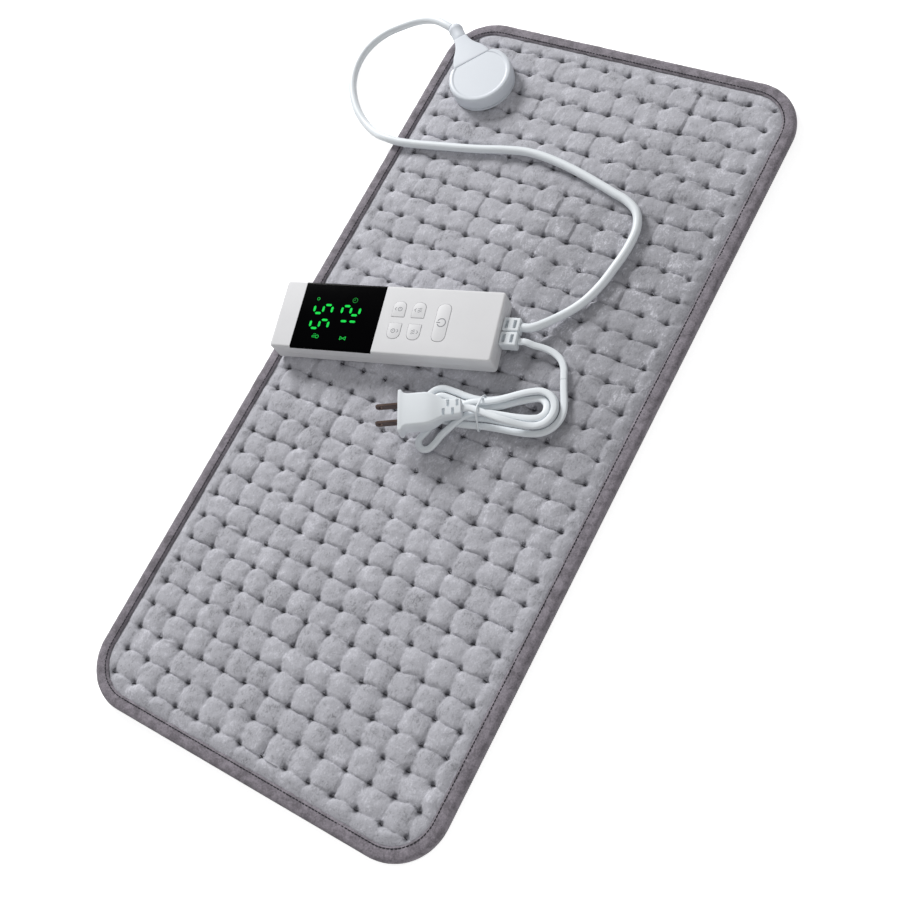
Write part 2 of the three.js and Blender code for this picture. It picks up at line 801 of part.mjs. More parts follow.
function keyPair(name, fromEnd) {
  const inner = keySplit / 2;
  const outer = keyPairWidth / 2;
  return [
    { name: `${name}_down_key`, fromEnd, length: keyLength, low: -outer, high: -inner,
      lowCorner: keyOuterCorner, highCorner: keyInnerCorner },
    { name: `${name}_up_key`, fromEnd, length: keyLength, low: inner, high: outer,
      lowCorner: keyInnerCorner, highCorner: keyOuterCorner },
  ];
}

const powerKey = { name: "power_key", fromEnd: powerRowFromEnd, length: powerKeyLength,
  low: -keyPairWidth / 2, high: keyPairWidth / 2,
  lowCorner: keyOuterCorner, highCorner: keyOuterCorner };
const keys = [
  ...keyPair("timer", keyRowFromEnd),
  ...keyPair("heat", keyRowFromEnd + keyRowPitch),
  powerKey,
];
const keyCentre = (key) => [leftEnd + key.fromEnd, (key.low + key.high) / 2];

function glandPassage(y) {
  const width = glandNeckWidth + 2 * fit;
  const height = glandNeckHeight + 2 * fit;
  return block(glandLength, width, glandLevel - height / 2, glandLevel + height / 2, rightEnd, y);
}

function upperShell() {
  const outside = halfOf(controllerBlock(), upperBottom, shellTop + overrun);
  const hollow = slab(controllerOutline(shellWall), upperBottom - overrun, ceiling, 2);
  const recess = block(windowLength, controllerWidth + overrun, windowBottom - fit, shellTop + overrun,
    windowMiddle, 0);
  const displayHole = block(ledLength + 2 * fit, ledWidth + 2 * fit, ceiling - overrun,
    shellTop, windowMiddle, 0);
  const keyHoles = keys.map((key) => slab(keyPlan(key, 0), ceiling - overrun, shellTop + overrun, 2));
  const bosses = bossPlaces.map(([x, y]) => post(bossRadius, upperBottom, ceiling + overrun, x, y, 14));
  const bores = bossPlaces.map(([x, y]) =>
    post(screwRadius + fit, 0, upperBottom + screwReach + fit, x, y, 12));
  const passages = [-glandOffset, glandOffset].map(glandPassage);
  const shell = cut(outside, hollow, recess, displayHole, ...keyHoles, ...passages);
  return cut(join(shell, ...bosses), ...bores);
}

function lowerShell() {
  const outside = halfOf(controllerBlock(), shellBottom - overrun, partingLevel);
  const hollow = slab(controllerOutline(shellWall), shellFloor, partingLevel + overrun, 2);
  const bosses = bossPlaces.map(([x, y]) => post(bossRadius, shellFloor - overrun, partingLevel, x, y, 14));
  const holes = bossPlaces.flatMap(([x, y]) => [
    post(screwRadius + fit, 0, partingLevel + overrun, x, y, 12),
    post(screwHeadRadius + fit, 0, shellBottom + screwHeadHeight + 2 * fit, x, y, 12),
  ]);
  const ribs = [-1, 1].map((way) => block(boardRibLength, boardRibWidth, shellFloor - overrun,
    boardBottom - fit, 0, way * boardRibOffset));
  const passages = [-glandOffset, glandOffset].map(glandPassage);
  return cut(join(cut(outside, hollow, ...passages), ...bosses, ...ribs), ...holes);
}

function displayWindow() {
  const pane = block(windowLength - 2 * fit, controllerWidth + overrun, windowBottom, shellTop + overrun,
    windowMiddle, 0);
  return common(controllerBlock(), pane);
}

function ledDisplay() {
  return block(ledLength, ledWidth, boardTop + fit, boardTop + fit + ledHeight, windowMiddle, 0);
}

function circuitBoard() {
  const outline = roundedRectangle(controllerLength - 2 * boardMarginEnd,
    controllerWidth - 2 * boardMarginSide, controllerCorner / 2);
  return slab(outline, boardBottom, boardTop, 2);
}

// Each key stands on its switch's plunger, and the two travel together
const flangeTopLevel = ceiling - fit;
const flangeBottomLevel = flangeTopLevel - keyFlangeThickness;
const switchBottom = boardTop + fit;
const switchTop = switchBottom + switchHeight;
const plungerTop = switchTop + plungerProud;

function keyCap(key) {
  const cap = slab(keyPlan(key, -fit), flangeTopLevel - overrun / 2, shellTop + keyProud, 2);
  const flange = slab(keyPlan(key, keyFlange), flangeBottomLevel, flangeTopLevel, 2);
  const stem = post(keyStemRadius, plungerTop + fit, flangeTopLevel, ...keyCentre(key), 12);
  return join(cap, flange, stem);
}

function tactSwitch(key) {
  const [x, y] = keyCentre(key);
  const housing = block(switchSize, switchSize, switchBottom, switchTop, x, y);
  return cut(housing, post(plungerRadius + fit, switchTop - wellDepth, switchTop + overrun, x, y, 12));
}

function plunger(key) {
  return post(plungerRadius, switchTop - plungerDepth, plungerTop, ...keyCentre(key), 12);
}

function boardPart(size, x, y) {
  const [sizeX, sizeY, height] = size;
  return block(sizeX, sizeY, boardTop + fit, boardTop + fit + height, x, y);
}

const powerEnd = leftEnd + powerRowFromEnd + powerKeyLength / 2 + keyFlange;

function capacitor() {
  return boardPart(capacitorSize, powerEnd + fit + capacitorSize[0] / 2, boardPartOffset);
}

function triac() {
  return boardPart(triacSize, powerEnd + fit + triacSize[0] / 2, -boardPartOffset);
}

function fuse() {
  return rod(fuseRadius, powerEnd + overrun, powerEnd + overrun + fuseLength, 0,
    boardTop + fit + fuseRadius, 12);
}

// A gland has a ribbed block outside, a neck through the wall and a collar inside
function gland(y) {
  const start = rightEnd + fit;
  const outline = (inset) => roundedRectangle(glandLength - 2 * inset, glandWidth - 2 * inset,
    glandRound, start + glandLength / 2, y);
  const top = glandLevel + glandHeight / 2;
  const bottom = glandLevel - glandHeight / 2;
  const body = pillow(outline, bottom, top, glandEdge, 1, 1);
  const neckLength = shellWall + 3 * fit + glandCollar;
  const neck = block(neckLength, glandNeckWidth, glandLevel - glandNeckHeight / 2,
    glandLevel + glandNeckHeight / 2, start + overrun / 2 - neckLength / 2, y);
  const collar = block(glandCollar, glandWidth - overrun, glandLevel - glandHeight / 2 + overrun,
    glandLevel + glandHeight / 2 - overrun, rightEnd - shellWall - fit - glandCollar / 2, y);
  const slots = [0, 1].flatMap((i) => {
    const x = start + glandSlotStart + i * glandSlotPitch;
    return [
      block(glandSlotLength, glandSlotWidth, top - glandSlotDepth, top + overrun, x, y),
      block(glandSlotLength, glandSlotWidth, bottom - overrun, bottom + glandSlotDepth, x, y),
    ];
  });
  return cut(join(body, neck, collar), ...slots);
}

const controller = new THREE.Group();
controller.position.set(...controllerAt, 0);
controller.rotation.z = controllerTurn;
controller.add(part("upper_shell", upperShell(), whitePlastic));
controller.add(part("lower_shell", lowerShell(), whitePlastic));
controller.add(part("display_window", displayWindow(), blackGlass));
controller.add(part("led_display", ledDisplay(), darkPlastic));
controller.add(part("circuit_board", circuitBoard(), boardGreen));
bossPlaces.forEach(([x, y], i) => {
  const head = shellBottom + fit;
  const shank = screw(x, y, head, upperBottom + screwReach);
  controller.add(part(`shell_screw_${i + 1}`, shank, steel));
});
for (const key of keys) {
  controller.add(part(key.name, keyCap(key), whitePlastic));
  controller.add(part(`${key.name}_switch`, tactSwitch(key), darkPlastic));
  controller.add(part(`${key.name}_plunger`, plunger(key), steel));
}
controller.add(part("capacitor", capacitor(), wireRed));
controller.add(part("triac", triac(), darkPlastic));
controller.add(part("fuse", fuse(), steel));
controller.add(part("pad_lead_gland", gland(glandOffset), softPlastic));
controller.add(part("mains_gland", gland(-glandOffset), softPlastic));

// Places on turned pieces, as points of the whole object
function placed(group, x, y, z) {
  group.updateMatrix();
  return new THREE.Vector3(x, y, z).applyMatrix4(group.matrix);
}

const asPoints = (route) => route.map(([x, y, z]) => new THREE.Vector3(x, y, z));
const cordStart = rightEnd + fit + glandLength + fit;

// Pad lead: from its gland over the pad, off the pad's side to the floor and up to the boot
const leadRoute = [
  [54.9, 77.5, 13.1], [64.6, 91.8, 12.9], [70.4, 107.5, 12.9], [73.6, 124.3, 12.9],
  [75.6, 140.5, 12.9], [74.6, 157.5, 12.9], [68.6, 169.1, 12.9], [58.6, 175.2, 12.9],
  [46.4, 178.6, 12.9], [27.0, 183.7, 12.9], [7.4, 188.2, 12.9], [-12.0, 191.2, 12.9],
  [-30.2, 192.0, 12.9], [-46.8, 189.5, 12.9], [-71.5, 183.4, 12.9], [-106.0, 176.5, 12.9],
  [-123.7, 173.2, 12.9], [-138.2, 171.4, 12.9], [-151.0, 172.4, 12.0], [-164.0, 176.2, 7.6],
  [-178.0, 182.6, 4.2], [-191.5, 191.2, 3.6], [-202.3, 201.6, 3.6], [-210.9, 213.3, 3.6],
  [-216.6, 227.5, 3.6], [-218.2, 243.0, 3.6], [-214.9, 256.8, 3.6], [-207.6, 268.0, 4.0],
  [-196.8, 275.6, 5.8], [-184.0, 281.2, 8.8], [-171.8, 283.0, 12.0], [-161.5, 281.8, 14.8],
];

function padLead() {
  const exit = placed(controller, cordStart, glandOffset, glandLevel);
  const afterExit = placed(controller, cordStart + leadDiameter, glandOffset, glandLevel);
  const outOfKnob = (distance) => placed(connector, knobMiddle + distance * Math.cos(knobExitTurn),
    distance * Math.sin(knobExitTurn), plugMiddle);
  const entry = outOfKnob(knobRadius + fit);
  const beforeEntry = outOfKnob(knobRadius + fit + leadDiameter);
  const middle = stationsAlong([afterExit, ...asPoints(leadRoute), beforeEntry], leadSteps);
  return tube([exit, ...middle, entry], ovalSection(leadDiameter, leadDiameter, leadSides));
}

// Mains cord: a free stretch from its gland to the hank, then the hank with its loops
const lowerLayer = onPad + tieThickness + fit + mainsThickness / 2;
const upperLayer = lowerLayer + mainsThickness + hankGap;
const mainsRoute = [
  [48.1, 49.6, 15.6], [56.5, 50.8, 13.6], [64.6, 49.8, 12.7], [71.2, 46.4, 12.5],
  [75.6, 41.0, 12.5],
];
const hankStart = new THREE.Vector3(78.8, 34.4, lowerLayer);
const hankEntryRoute = [[81.9, 28.2], [85.1, 22.4]];

function mainsLead() {
  const exit = placed(controller, cordStart, -glandOffset, glandLevel);
  const afterExit = placed(controller, cordStart + mainsWidth, -glandOffset, glandLevel);
  const way = new THREE.Vector3(hankEntryRoute[0][0] - hankStart.x, hankEntryRoute[0][1] - hankStart.y, 0);
  way.normalize();
  const end = hankStart.clone().addScaledVector(way, -fit);
  const beforeEnd = end.clone().addScaledVector(way, -mainsWidth);
  const middle = stationsAlong([afterExit, ...asPoints(mainsRoute), beforeEnd], mainsSteps);
  return tube([exit, ...middle, end], flatSection(mainsWidth, mainsThickness, mainsThickness / 3));
}

const smooth = (low, high, value) => THREE.MathUtils.smoothstep(value, low, high);
const mix = THREE.MathUtils.lerp;

// The hank's middle line bends away from the tie, so that each lobe swings to its own side
function onSpine(along, across, height, swing) {
  const reach = Math.abs(along);
  const way = Math.sign(along) || 1;
  const bent = Math.min(reach, lobeBend);
  const turn = (swing * bent) / lobeBend;
  const straight = reach - bent;
  const arc = Math.abs(swing) > 0 ? lobeBend / swing : 0;
  const x = arc * Math.sin(turn) + straight * Math.cos(turn);
  const y = arc * (1 - Math.cos(turn)) + straight * Math.sin(turn);
  const point = new THREE.Vector3(
    way * x - across * Math.sin(turn), way * y + across * Math.cos(turn), height);
  return point;
}

// Each loop runs round the large lobe, along the waist and round the small lobe
function loopPoint(turns) {
  const share = turns - Math.floor(turns);
  const offset = hankStep * Math.abs(hankTurnsIn - turns);
  const climb = smooth(hankTurnsIn - climbShare / 2, hankTurnsIn + climbShare / 2, turns);
  const smallLobeAt = mix(lowerLobeAt, upperLobeAt, climb);
  const smallSwing = mix(lowerLobeSwing, upperLobeSwing, climb);
  const halfCap = capShare / 2;
  const round = (2 * Math.PI) / (2 * capShare);
  let along;
  let across;
  if (share < halfCap || share >= 1 - halfCap) {
    const angle = (share < halfCap ? share : share - 1) * round;
    along = largeLobeAt + (largeLobeRadius + offset) * Math.cos(angle);
    across = -(largeLobeRadius + offset) * Math.sin(angle);
  } else if (Math.abs(share - 1 / 2) < halfCap) {
    const angle = (share - 1 / 2) * round;
    along = -smallLobeAt - (smallLobeRadius + offset) * Math.cos(angle);
    across = (smallLobeRadius + offset) * Math.sin(angle);
  } else {
    const way = share < 1 / 2 ? -1 : 1;
    const run = (way < 0 ? share - halfCap : 1 - halfCap - share) / (1 / 2 - capShare);
    along = mix(largeLobeAt, -smallLobeAt, run);
    const lobeAt = along > 0 ? largeLobeAt : smallLobeAt;
    const lobe = along > 0 ? largeLobeRadius : smallLobeRadius;
    const half = mix(hankWaistHalf, lobe, smooth(0, 1, Math.abs(along) / lobeAt));
    across = way * (half + offset);
  }
  const droop = climb * smooth(droopFrom, droopTo, -along);
  const height = mix(mix(lowerLayer, upperLayer, climb), lowerLayer, droop);
  const swing = along > 0 ? largeLobeSwing : smallSwing;
  return onSpine(along, across, height, swing);
}

const hankFrame = new THREE.Group();
hankFrame.position.set(...hankAt, 0);
hankFrame.rotation.z = hankTurn;
const fromHank = (point) => placed(hankFrame, point.x, point.y, point.z);

// Mains plug, its tail on the hank and its blades tipped up, about its own middle line
const tailLevel = upperLayer + mainsThickness / 2 + fit + mainsTailThickness / 2;
const mainsPlug = new THREE.Group();
mainsPlug.position.set(...mainsPlugAt, tailLevel);
mainsPlug.rotation.set(0, -plugTilt, plugTurn, "ZYX");

// From the last loop the cord rises over its neighbours and runs into the plug
function exitStations() {
  const lastTurns = hankTurns + capShare / 2;
  const end = placed(mainsPlug, -fit, 0, 0);
  const beforeEnd = placed(mainsPlug, -mainsWidth, 0, 0);
  const start = fromHank(loopPoint(lastTurns));
  const stations = [];
  for (let step = 1; step < exitSteps; step += 1) {
    const share = step / exitSteps;
    const beside = loopPoint(lastTurns + (share * capShare) / 2);
    const along = fromHank(beside);
    const straight = start.clone().lerp(beforeEnd, share);
    const point = along.lerp(straight, smooth(exitStraightShare, 1, share));
    point.z = mix(upperLayer, beforeEnd.z, smooth(0, exitClimbShare, share));
    stations.push(point);
  }
  return [...stations, beforeEnd, end];
}

function hankStations() {
  const rings = Math.round((hankTurns + capShare / 2) * stepsPerLoop) + 1;
  const wound = Array.from({ length: rings }, (_, i) => fromHank(loopPoint(i / stepsPerLoop)));
  const entry = hankEntryRoute.map(([x, y]) => new THREE.Vector3(x, y, lowerLayer));
  return [hankStart, ...entry, ...wound, ...exitStations()];
}

function mainsHank() {
  return tube(hankStations(), flatSection(mainsWidth, mainsThickness, 0));
}

// Where the last stretch of cord crosses over the waist
function tailCrossing() {
  hankFrame.updateMatrix();
  const intoHank = hankFrame.matrix.clone().invert();
  const stations = exitStations().map((point) => point.applyMatrix4(intoHank));
  const after = stations.findIndex((point) => point.x < 0);
  const before = stations[after - 1];
  return before.clone().lerp(stations[after], before.x / (before.x - stations[after].x));
}

// Outline round convex points given anticlockwise, at a distance from them
function wrapped(points, distance) {
  const shape = new THREE.Shape();
  const wayFrom = (i) => {
    const [x, y] = points[i % points.length];
    const [nextX, nextY] = points[(i + 1) % points.length];
    return Math.atan2(nextY - y, nextX - x) - Math.PI / 2;
  };
  points.forEach(([x, y], i) => {
    shape.absarc(x, y, distance, wayFrom(i + points.length - 1), wayFrom(i), false);
  });
  return shape;
}

// The tie is drawn tight round the outer strands at the waist
function cordTie() {
  const tail = tailCrossing();
  const lobe = (mainsWidth - mainsThickness) / 2;
  const strandAt = (turnsAway) => hankWaistHalf + hankStep * turnsAway + lobe;
  const strands = [
    [-strandAt(hankTurnsIn - leftPassShare), lowerLayer],
    [strandAt(hankTurnsIn - rightPassShare), lowerLayer],
    [strandAt(rightPassShare), upperLayer], [tail.y + lobe, tail.z], [tail.y - lobe, tail.z],
  ];
  const clear = mainsThickness / 2 + 2 * fit;
  const band = slab(wrapped(strands, clear + tieThickness), -tieWidth / 2, tieWidth / 2, 3);
  const hole = slab(wrapped(strands, clear), -tieWidth, tieWidth, 3);
  return cut(band, hole).rotateX(Math.PI / 2).rotateZ(Math.PI / 2);
}

// The plug is what its plan and its side view have in common
function mainsPlan(inset) {
  const shape = new THREE.Shape();
  const end = mainsPlugLength - inset;
  const flangeBack = mainsPlugLength - mainsFlangeThickness;
  const tail = mainsTailHalf - inset;
  const body = mainsPlugHalf - inset;
  const flange = mainsFlangeHalf - inset;
  shape.moveTo(inset, -tail);
  shape.lineTo(mainsTailLength, -tail - mainsTailTaper);
  shape.quadraticCurveTo(mainsBodyStart - mainsBodyBend, -body, mainsBodyStart + mainsBodyBend, -body);
  shape.lineTo(mainsFlareStart, -body);
  shape.quadraticCurveTo(flangeBack, -body, flangeBack, -flange);
  shape.lineTo(end, -flange);
  shape.lineTo(end, flange);
  shape.lineTo(flangeBack, flange);
  shape.quadraticCurveTo(flangeBack, body, mainsFlareStart, body);
  shape.lineTo(mainsBodyStart + mainsBodyBend, body);
  shape.quadraticCurveTo(mainsBodyStart - mainsBodyBend, body, mainsTailLength, tail + mainsTailTaper);
  shape.lineTo(inset, tail);
  return shape;
}

function mainsSideView() {
  const shape = new THREE.Shape();
  const tail = mainsTailThickness / 2;
  const body = mainsPlugThickness / 2;
  shape.moveTo(-overrun, -tail);
  shape.lineTo(mainsTailLength, -tail);
  shape.quadraticCurveTo(mainsBodyStart - mainsBodyBend, -body, mainsBodyStart + mainsBodyBend, -body);
  shape.lineTo(mainsPlugLength + overrun, -body);
  shape.lineTo(mainsPlugLength + overrun, body);
  shape.lineTo(mainsBodyStart + mainsBodyBend, body);
  shape.quadraticCurveTo(mainsBodyStart - mainsBodyBend, body, mainsTailLength, tail);
  shape.lineTo(-overrun, tail);
  return shape;
}

function mainsPlugBody() {
  const half = mainsPlugThickness / 2;
  const plan = pillow(mainsPlan, -half, half, mainsPlugRound, 3);
  const width = 2 * (mainsFlangeHalf + overrun);
  const side = slab(mainsSideView(), -width / 2, width / 2, 3).rotateX(Math.PI / 2);
  const slots = Array.from({ length: tailSlotCount }).flatMap((_, i) => [-1, 1].map((face) => {
    const way = i % 2 === 0 ? -1 : 1;
    const level = face * (mainsTailThickness / 2);
    return block(tailSlotLength, tailSlotWidth, level - glandSlotDepth / 2,
      level + glandSlotDepth / 2, tailSlotStart + i * tailSlotPitch, (way * mainsTailHalf) / 2);
  }));
  const seats = [-1, 1].map((way) => block(bladeSeat + fit + overrun, bladeThickness + 2 * fit,
    -bladeHeight / 2 - fit, bladeHeight / 2 + fit,
    mainsPlugLength + overrun - (bladeSeat + fit + overrun) / 2, (way * bladeSpacing) / 2));
  return cut(common(plan, side), ...slots, ...seats);
}

function plugBlade(way) {
  const y = (way * bladeSpacing) / 2;
  const tip = mainsPlugLength + bladeReach;
  const half = bladeHeight / 2;
  const shape = new THREE.Shape();
  shape.moveTo(mainsPlugLength - bladeSeat, -half);
  shape.lineTo(tip - bladeThickness, -half);
  shape.lineTo(tip, -half + bladeThickness);
  shape.lineTo(tip, half - bladeThickness);
  shape.lineTo(tip - bladeThickness, half);
  shape.lineTo(mainsPlugLength - bladeSeat, half);
  const hole = new THREE.Path();
  hole.absarc(tip - bladeHoleFromTip, 0, bladeHoleRadius, 0, 2 * Math.PI, true);
  shape.holes.push(hole);
  const blade = slab(shape, -bladeThickness / 2, bladeThickness / 2, 6).rotateX(Math.PI / 2);
  return blade.translate(0, y, 0);
}

mainsPlug.add(part("mains_plug", mainsPlugBody(), softPlastic));
mainsPlug.add(part("plug_blade_1", plugBlade(-1), brass));
mainsPlug.add(part("plug_blade_2", plugBlade(1), brass));
hankFrame.add(part("cord_tie", cordTie(), softPlastic));

const cords = new THREE.Group();
cords.add(part("pad_lead", padLead(), softPlastic));
cords.add(part("mains_lead", mainsLead(), softPlastic));
cords.add(part("mains_hank", mainsHank(), softPlastic));

// The least gap between stretches of the hank's own tube, on points round its section
function leastHankGap() {
  const stations = hankStations();
  const frames = new LevelPath(stations).computeFrenetFrames(stations.length - 1);
  const far = turnedAwayLength;
  const rings = [];
  let travelled = 0;
  for (let i = 0; i + 1 < stations.length; i += 1) {
    const step = stations[i].distanceTo(stations[i + 1]);
    const pieces = Math.max(1, Math.round(step));
    for (let k = 0; k < pieces; k += 1) {
      const point = stations[i].clone().lerp(stations[i + 1], k / pieces);
      rings.push({ point, frame: i, at: travelled + (step * k) / pieces });
    }
    travelled += step;
  }
  let least = Infinity;
  const reachTowards = (ring, direction) => {
    const side = Math.abs(direction.dot(frames.normals[ring.frame])) * mainsWidth;
    const height = Math.abs(direction.dot(frames.binormals[ring.frame])) * mainsThickness;
    return Math.hypot(side, height) / 2;
  };
  for (const one of rings) {
    for (const other of rings) {
      if (other.at - one.at > far) {
        const between = other.point.clone().sub(one.point);
        const distance = between.length();
        if (distance < 2 * mainsWidth) {
          between.divideScalar(distance);
          const gap = distance - reachTowards(one, between) - reachTowards(other, between);
          least = Math.min(least, gap);
        }
      }
    }
  }
  return { least, length: travelled };
}

const lengthOf = (stations) =>
  stations.slice(1).reduce((sum, point, i) => sum + point.distanceTo(stations[i]), 0);
const hankMeasure = leastHankGap();
console.log(`least gap in the hank ${hankMeasure.least.toFixed(2)} mm`);
console.log(`hank length ${hankMeasure.length.toFixed(0)} mm`);

const heatingPad = new THREE.Group();
heatingPad.add(pad, connector, controller, hankFrame, mainsPlug, cords);

export default heatingPad;
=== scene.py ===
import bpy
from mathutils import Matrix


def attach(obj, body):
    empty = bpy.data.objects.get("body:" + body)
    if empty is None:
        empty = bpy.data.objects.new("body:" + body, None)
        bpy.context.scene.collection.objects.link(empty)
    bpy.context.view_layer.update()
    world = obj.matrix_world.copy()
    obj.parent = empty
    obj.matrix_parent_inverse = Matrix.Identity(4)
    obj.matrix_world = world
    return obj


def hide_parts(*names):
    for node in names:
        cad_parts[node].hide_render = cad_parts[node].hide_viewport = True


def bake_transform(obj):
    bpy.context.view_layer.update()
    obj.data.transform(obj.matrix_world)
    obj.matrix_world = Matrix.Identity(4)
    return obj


bl_info = {
    "name": "Heating pad with controller",
    "version": (1, 0, 0),
    "blender": (4, 5, 0),
    "location": "View3D > Sidebar > Heating pad",
    "description": "Dresses a quilted heating pad, its controller and its cords",
    "category": "Object",
}

import math

import bpy
import numpy as np
from mathutils import Matrix, Vector

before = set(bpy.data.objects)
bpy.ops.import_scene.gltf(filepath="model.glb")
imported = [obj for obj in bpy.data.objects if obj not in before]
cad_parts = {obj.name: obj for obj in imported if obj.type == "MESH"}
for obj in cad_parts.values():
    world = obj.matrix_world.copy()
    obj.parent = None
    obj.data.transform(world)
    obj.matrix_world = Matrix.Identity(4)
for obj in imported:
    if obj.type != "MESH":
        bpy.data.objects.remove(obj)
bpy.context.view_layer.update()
MM = 0.001
PAD_BODY = "pad_and_controller"
PLUG_BODY = "pad_plug"


# Sizes and colours that a user would change


def length(name, description, default):
    """A length property whose default is given in millimetres."""
    return bpy.props.FloatProperty(
        name=name, description=description, default=default * MM, unit="LENGTH", precision=5)


def colour(name, description, default):
    """A colour property whose default is given as 0 to 255 on screen."""
    return bpy.props.FloatVectorProperty(
        name=name, description=description, default=linear(default), subtype="COLOR",
        size=3, min=0, max=1)


def linear(rgb):
    """Linear values of a colour given as 0 to 255 on screen."""
    shares = [channel / 255 for channel in rgb]
    return tuple(s / 12.92 if s <= 0.04045 else ((s + 0.055) / 1.055) ** 2.4 for s in shares)


class PadSizes(bpy.types.PropertyGroup):
    width: length("Width", "Across the bound pad", 290)
    length: length("Length", "Along the bound pad", 594)
    corner: length("Corner", "Radius of the pad's corners", 38)
    tape_width: length("Tape width", "From the pad's edge to the tape's inner edge", 10)
    tape_height: length("Tape height", "Thickness of the rolled tape", 8.8)
    tape_round: length("Tape roundness", "Radius of the tape's rolled edge", 3.4)
    pitch_across: length("Tuft pitch across", "Between tufts across the pad", 19.13)
    pitch_along: length("Tuft pitch along", "Between tufts along the pad", 17.83)
    cover_bottom: length("Cover underside", "Height of the cover's underside", 5.1)
    tuft_level: length("Tuft level", "Height of the cover at its tufts", 6.1)
    crown: length("Puff height", "How far a puff stands above its tufts", 3.2)
    stitch: length("Stitch", "Length of a stitch along the tape", 2.6)


class CordSizes(bpy.types.PropertyGroup):
    lead: length("Pad lead", "Diameter of the round lead", 6.4)
    mains_width: length("Mains cord width", "Width of the flat twin cord", 5)
    mains_thickness: length("Mains cord thickness", "Thickness of the flat twin cord", 3.2)
    tie: length("Tie", "Thickness of the band round the hank", 1)


class PadColours(bpy.types.PropertyGroup):
    plush: colour("Plush", "Top of the pile", (183, 183, 190))
    # Painted shade: the pile's tone down in its creases and at its tufts.
    plush_shade: colour("Deep plush", "Pile down in the tufts", (84, 84, 91))
    tape: colour("Tape", "Binding tape", (131, 125, 133))
    thread: colour("Thread", "Tufts and seam", (66, 64, 72))
    back: colour("Back cloth", "Underside", (142, 142, 147))
    shell: colour("Shell", "Controller's shells and keys", (224, 224, 226))
    print_grey: colour("Print", "Marks on the keys", (140, 141, 146))
    connector: colour("Connector", "Socket cover", (217, 222, 229))
    cord: colour("Cord", "Cords and plugs", (233, 238, 242))
    glass: colour("Window", "Display window", (2, 2, 3))
    lamp: colour("Display", "Lit segments", (12, 240, 84))


# Shader nodes from expressions


class Link:
    """A socket that takes part in Python expressions."""

    def __init__(self, finish, socket):
        self.finish = finish
        self.socket = socket

    def math(self, operation, *values):
        inputs = dict(enumerate([self, *values]))
        return self.finish.node("ShaderNodeMath", {"operation": operation}, inputs)

    def __add__(self, other):
        return self.math("ADD", other)

    __radd__ = __add__

    def __sub__(self, other):
        return self.math("SUBTRACT", other)

    def __rsub__(self, other):
        return self.finish.node("ShaderNodeMath", {"operation": "SUBTRACT"}, {0: other, 1: self})

    def __mul__(self, other):
        return self.math("MULTIPLY", other)

    __rmul__ = __mul__

    def __truediv__(self, other):
        return self.math("DIVIDE", other)

    def __pow__(self, other):
        return self.math("POWER", other)

    def sine(self):
        return self.math("SINE")

    def step(self, low, high):
        """0 below low and 1 above high, smooth between."""
        settings = {"interpolation_type": "SMOOTHSTEP"}
        inputs = {"Value": self, "From Min": low, "From Max": high}
        return self.finish.node("ShaderNodeMapRange", settings, inputs)


class Finish:
    """A material, or the world, whose nodes are added by expressions."""

    def __init__(self, name, world=None):
        self.material = world or bpy.data.materials.new(name)
        self.material.use_nodes = True
        self.tree = self.material.node_tree
        self.tree.nodes.clear()

    def node(self, kind, settings=None, inputs=None, output=0):
        node = self.tree.nodes.new(kind)
        for key, value in (settings or {}).items():
            setattr(node, key, value)
        for key, value in (inputs or {}).items():
            socket = node.inputs[key]
            if isinstance(value, Link):
                self.tree.links.new(value.socket, socket)
            elif socket.type == "RGBA" and len(value) == 3:
                socket.default_value = (*value, 1)
            else:
                socket.default_value = value
        return Link(self, node.outputs[output])

    def place(self):
        return self.node("ShaderNodeTexCoord", output="Object")

    def axes(self):
        split = self.node("ShaderNodeSeparateXYZ", inputs={0: self.place()})
        node = split.socket.node
        return [Link(self, node.outputs[i]) for i in range(3)]

    def noise(self, size, detail=2.0, roughness=0.5, distortion=0.0, stretch=None):
        place = self.place()
        if stretch:
            place = self.node(
                "ShaderNodeVectorMath", {"operation": "MULTIPLY"}, {0: place, 1: stretch})
        inputs = {"Vector": place, "Scale": 1 / size, "Detail": detail,
                  "Roughness": roughness, "Distortion": distortion}
        return self.node("ShaderNodeTexNoise", inputs=inputs)

    def mix(self, share, first, second):
        settings = {"data_type": "RGBA"}
        inputs = {0: share, 6: first, 7: second}
        return self.node("ShaderNodeMix", settings, inputs, output=2)

    def bump(self, height, distance, strength=1.0):
        inputs = {"Height": height, "Distance": distance, "Strength": strength}
        return self.node("ShaderNodeBump", inputs=inputs)

    def surface(self, **sockets):
        names = {key.replace("_", " "): value for key, value in sockets.items()}
        shader = self.node("ShaderNodeBsdfPrincipled", inputs=names)
        self.output(shader)
        return self.material

    def output(self, shader, kind="ShaderNodeOutputMaterial"):
        end = self.tree.nodes.new(kind)
        self.tree.links.new(shader.socket, end.inputs["Surface"])


# Finishes, with their sizes in metres

# Middle of a broad round zone where the pile is made darker.
DARKER_ZONE_PLACE = (0.085, 0.08)
# How far each tuft's painted shade is shifted onto the slope behind it.
TUFT_SHADE_SHIFT = 0.0008
TAPE_RIB = 0.0011
THREAD_TWIST = 0.0007
TRACK_WIDTH = 0.0016


def darker(rgb, share):
    """The colour with each channel multiplied by the share."""
    return tuple(channel * share for channel in rgb)


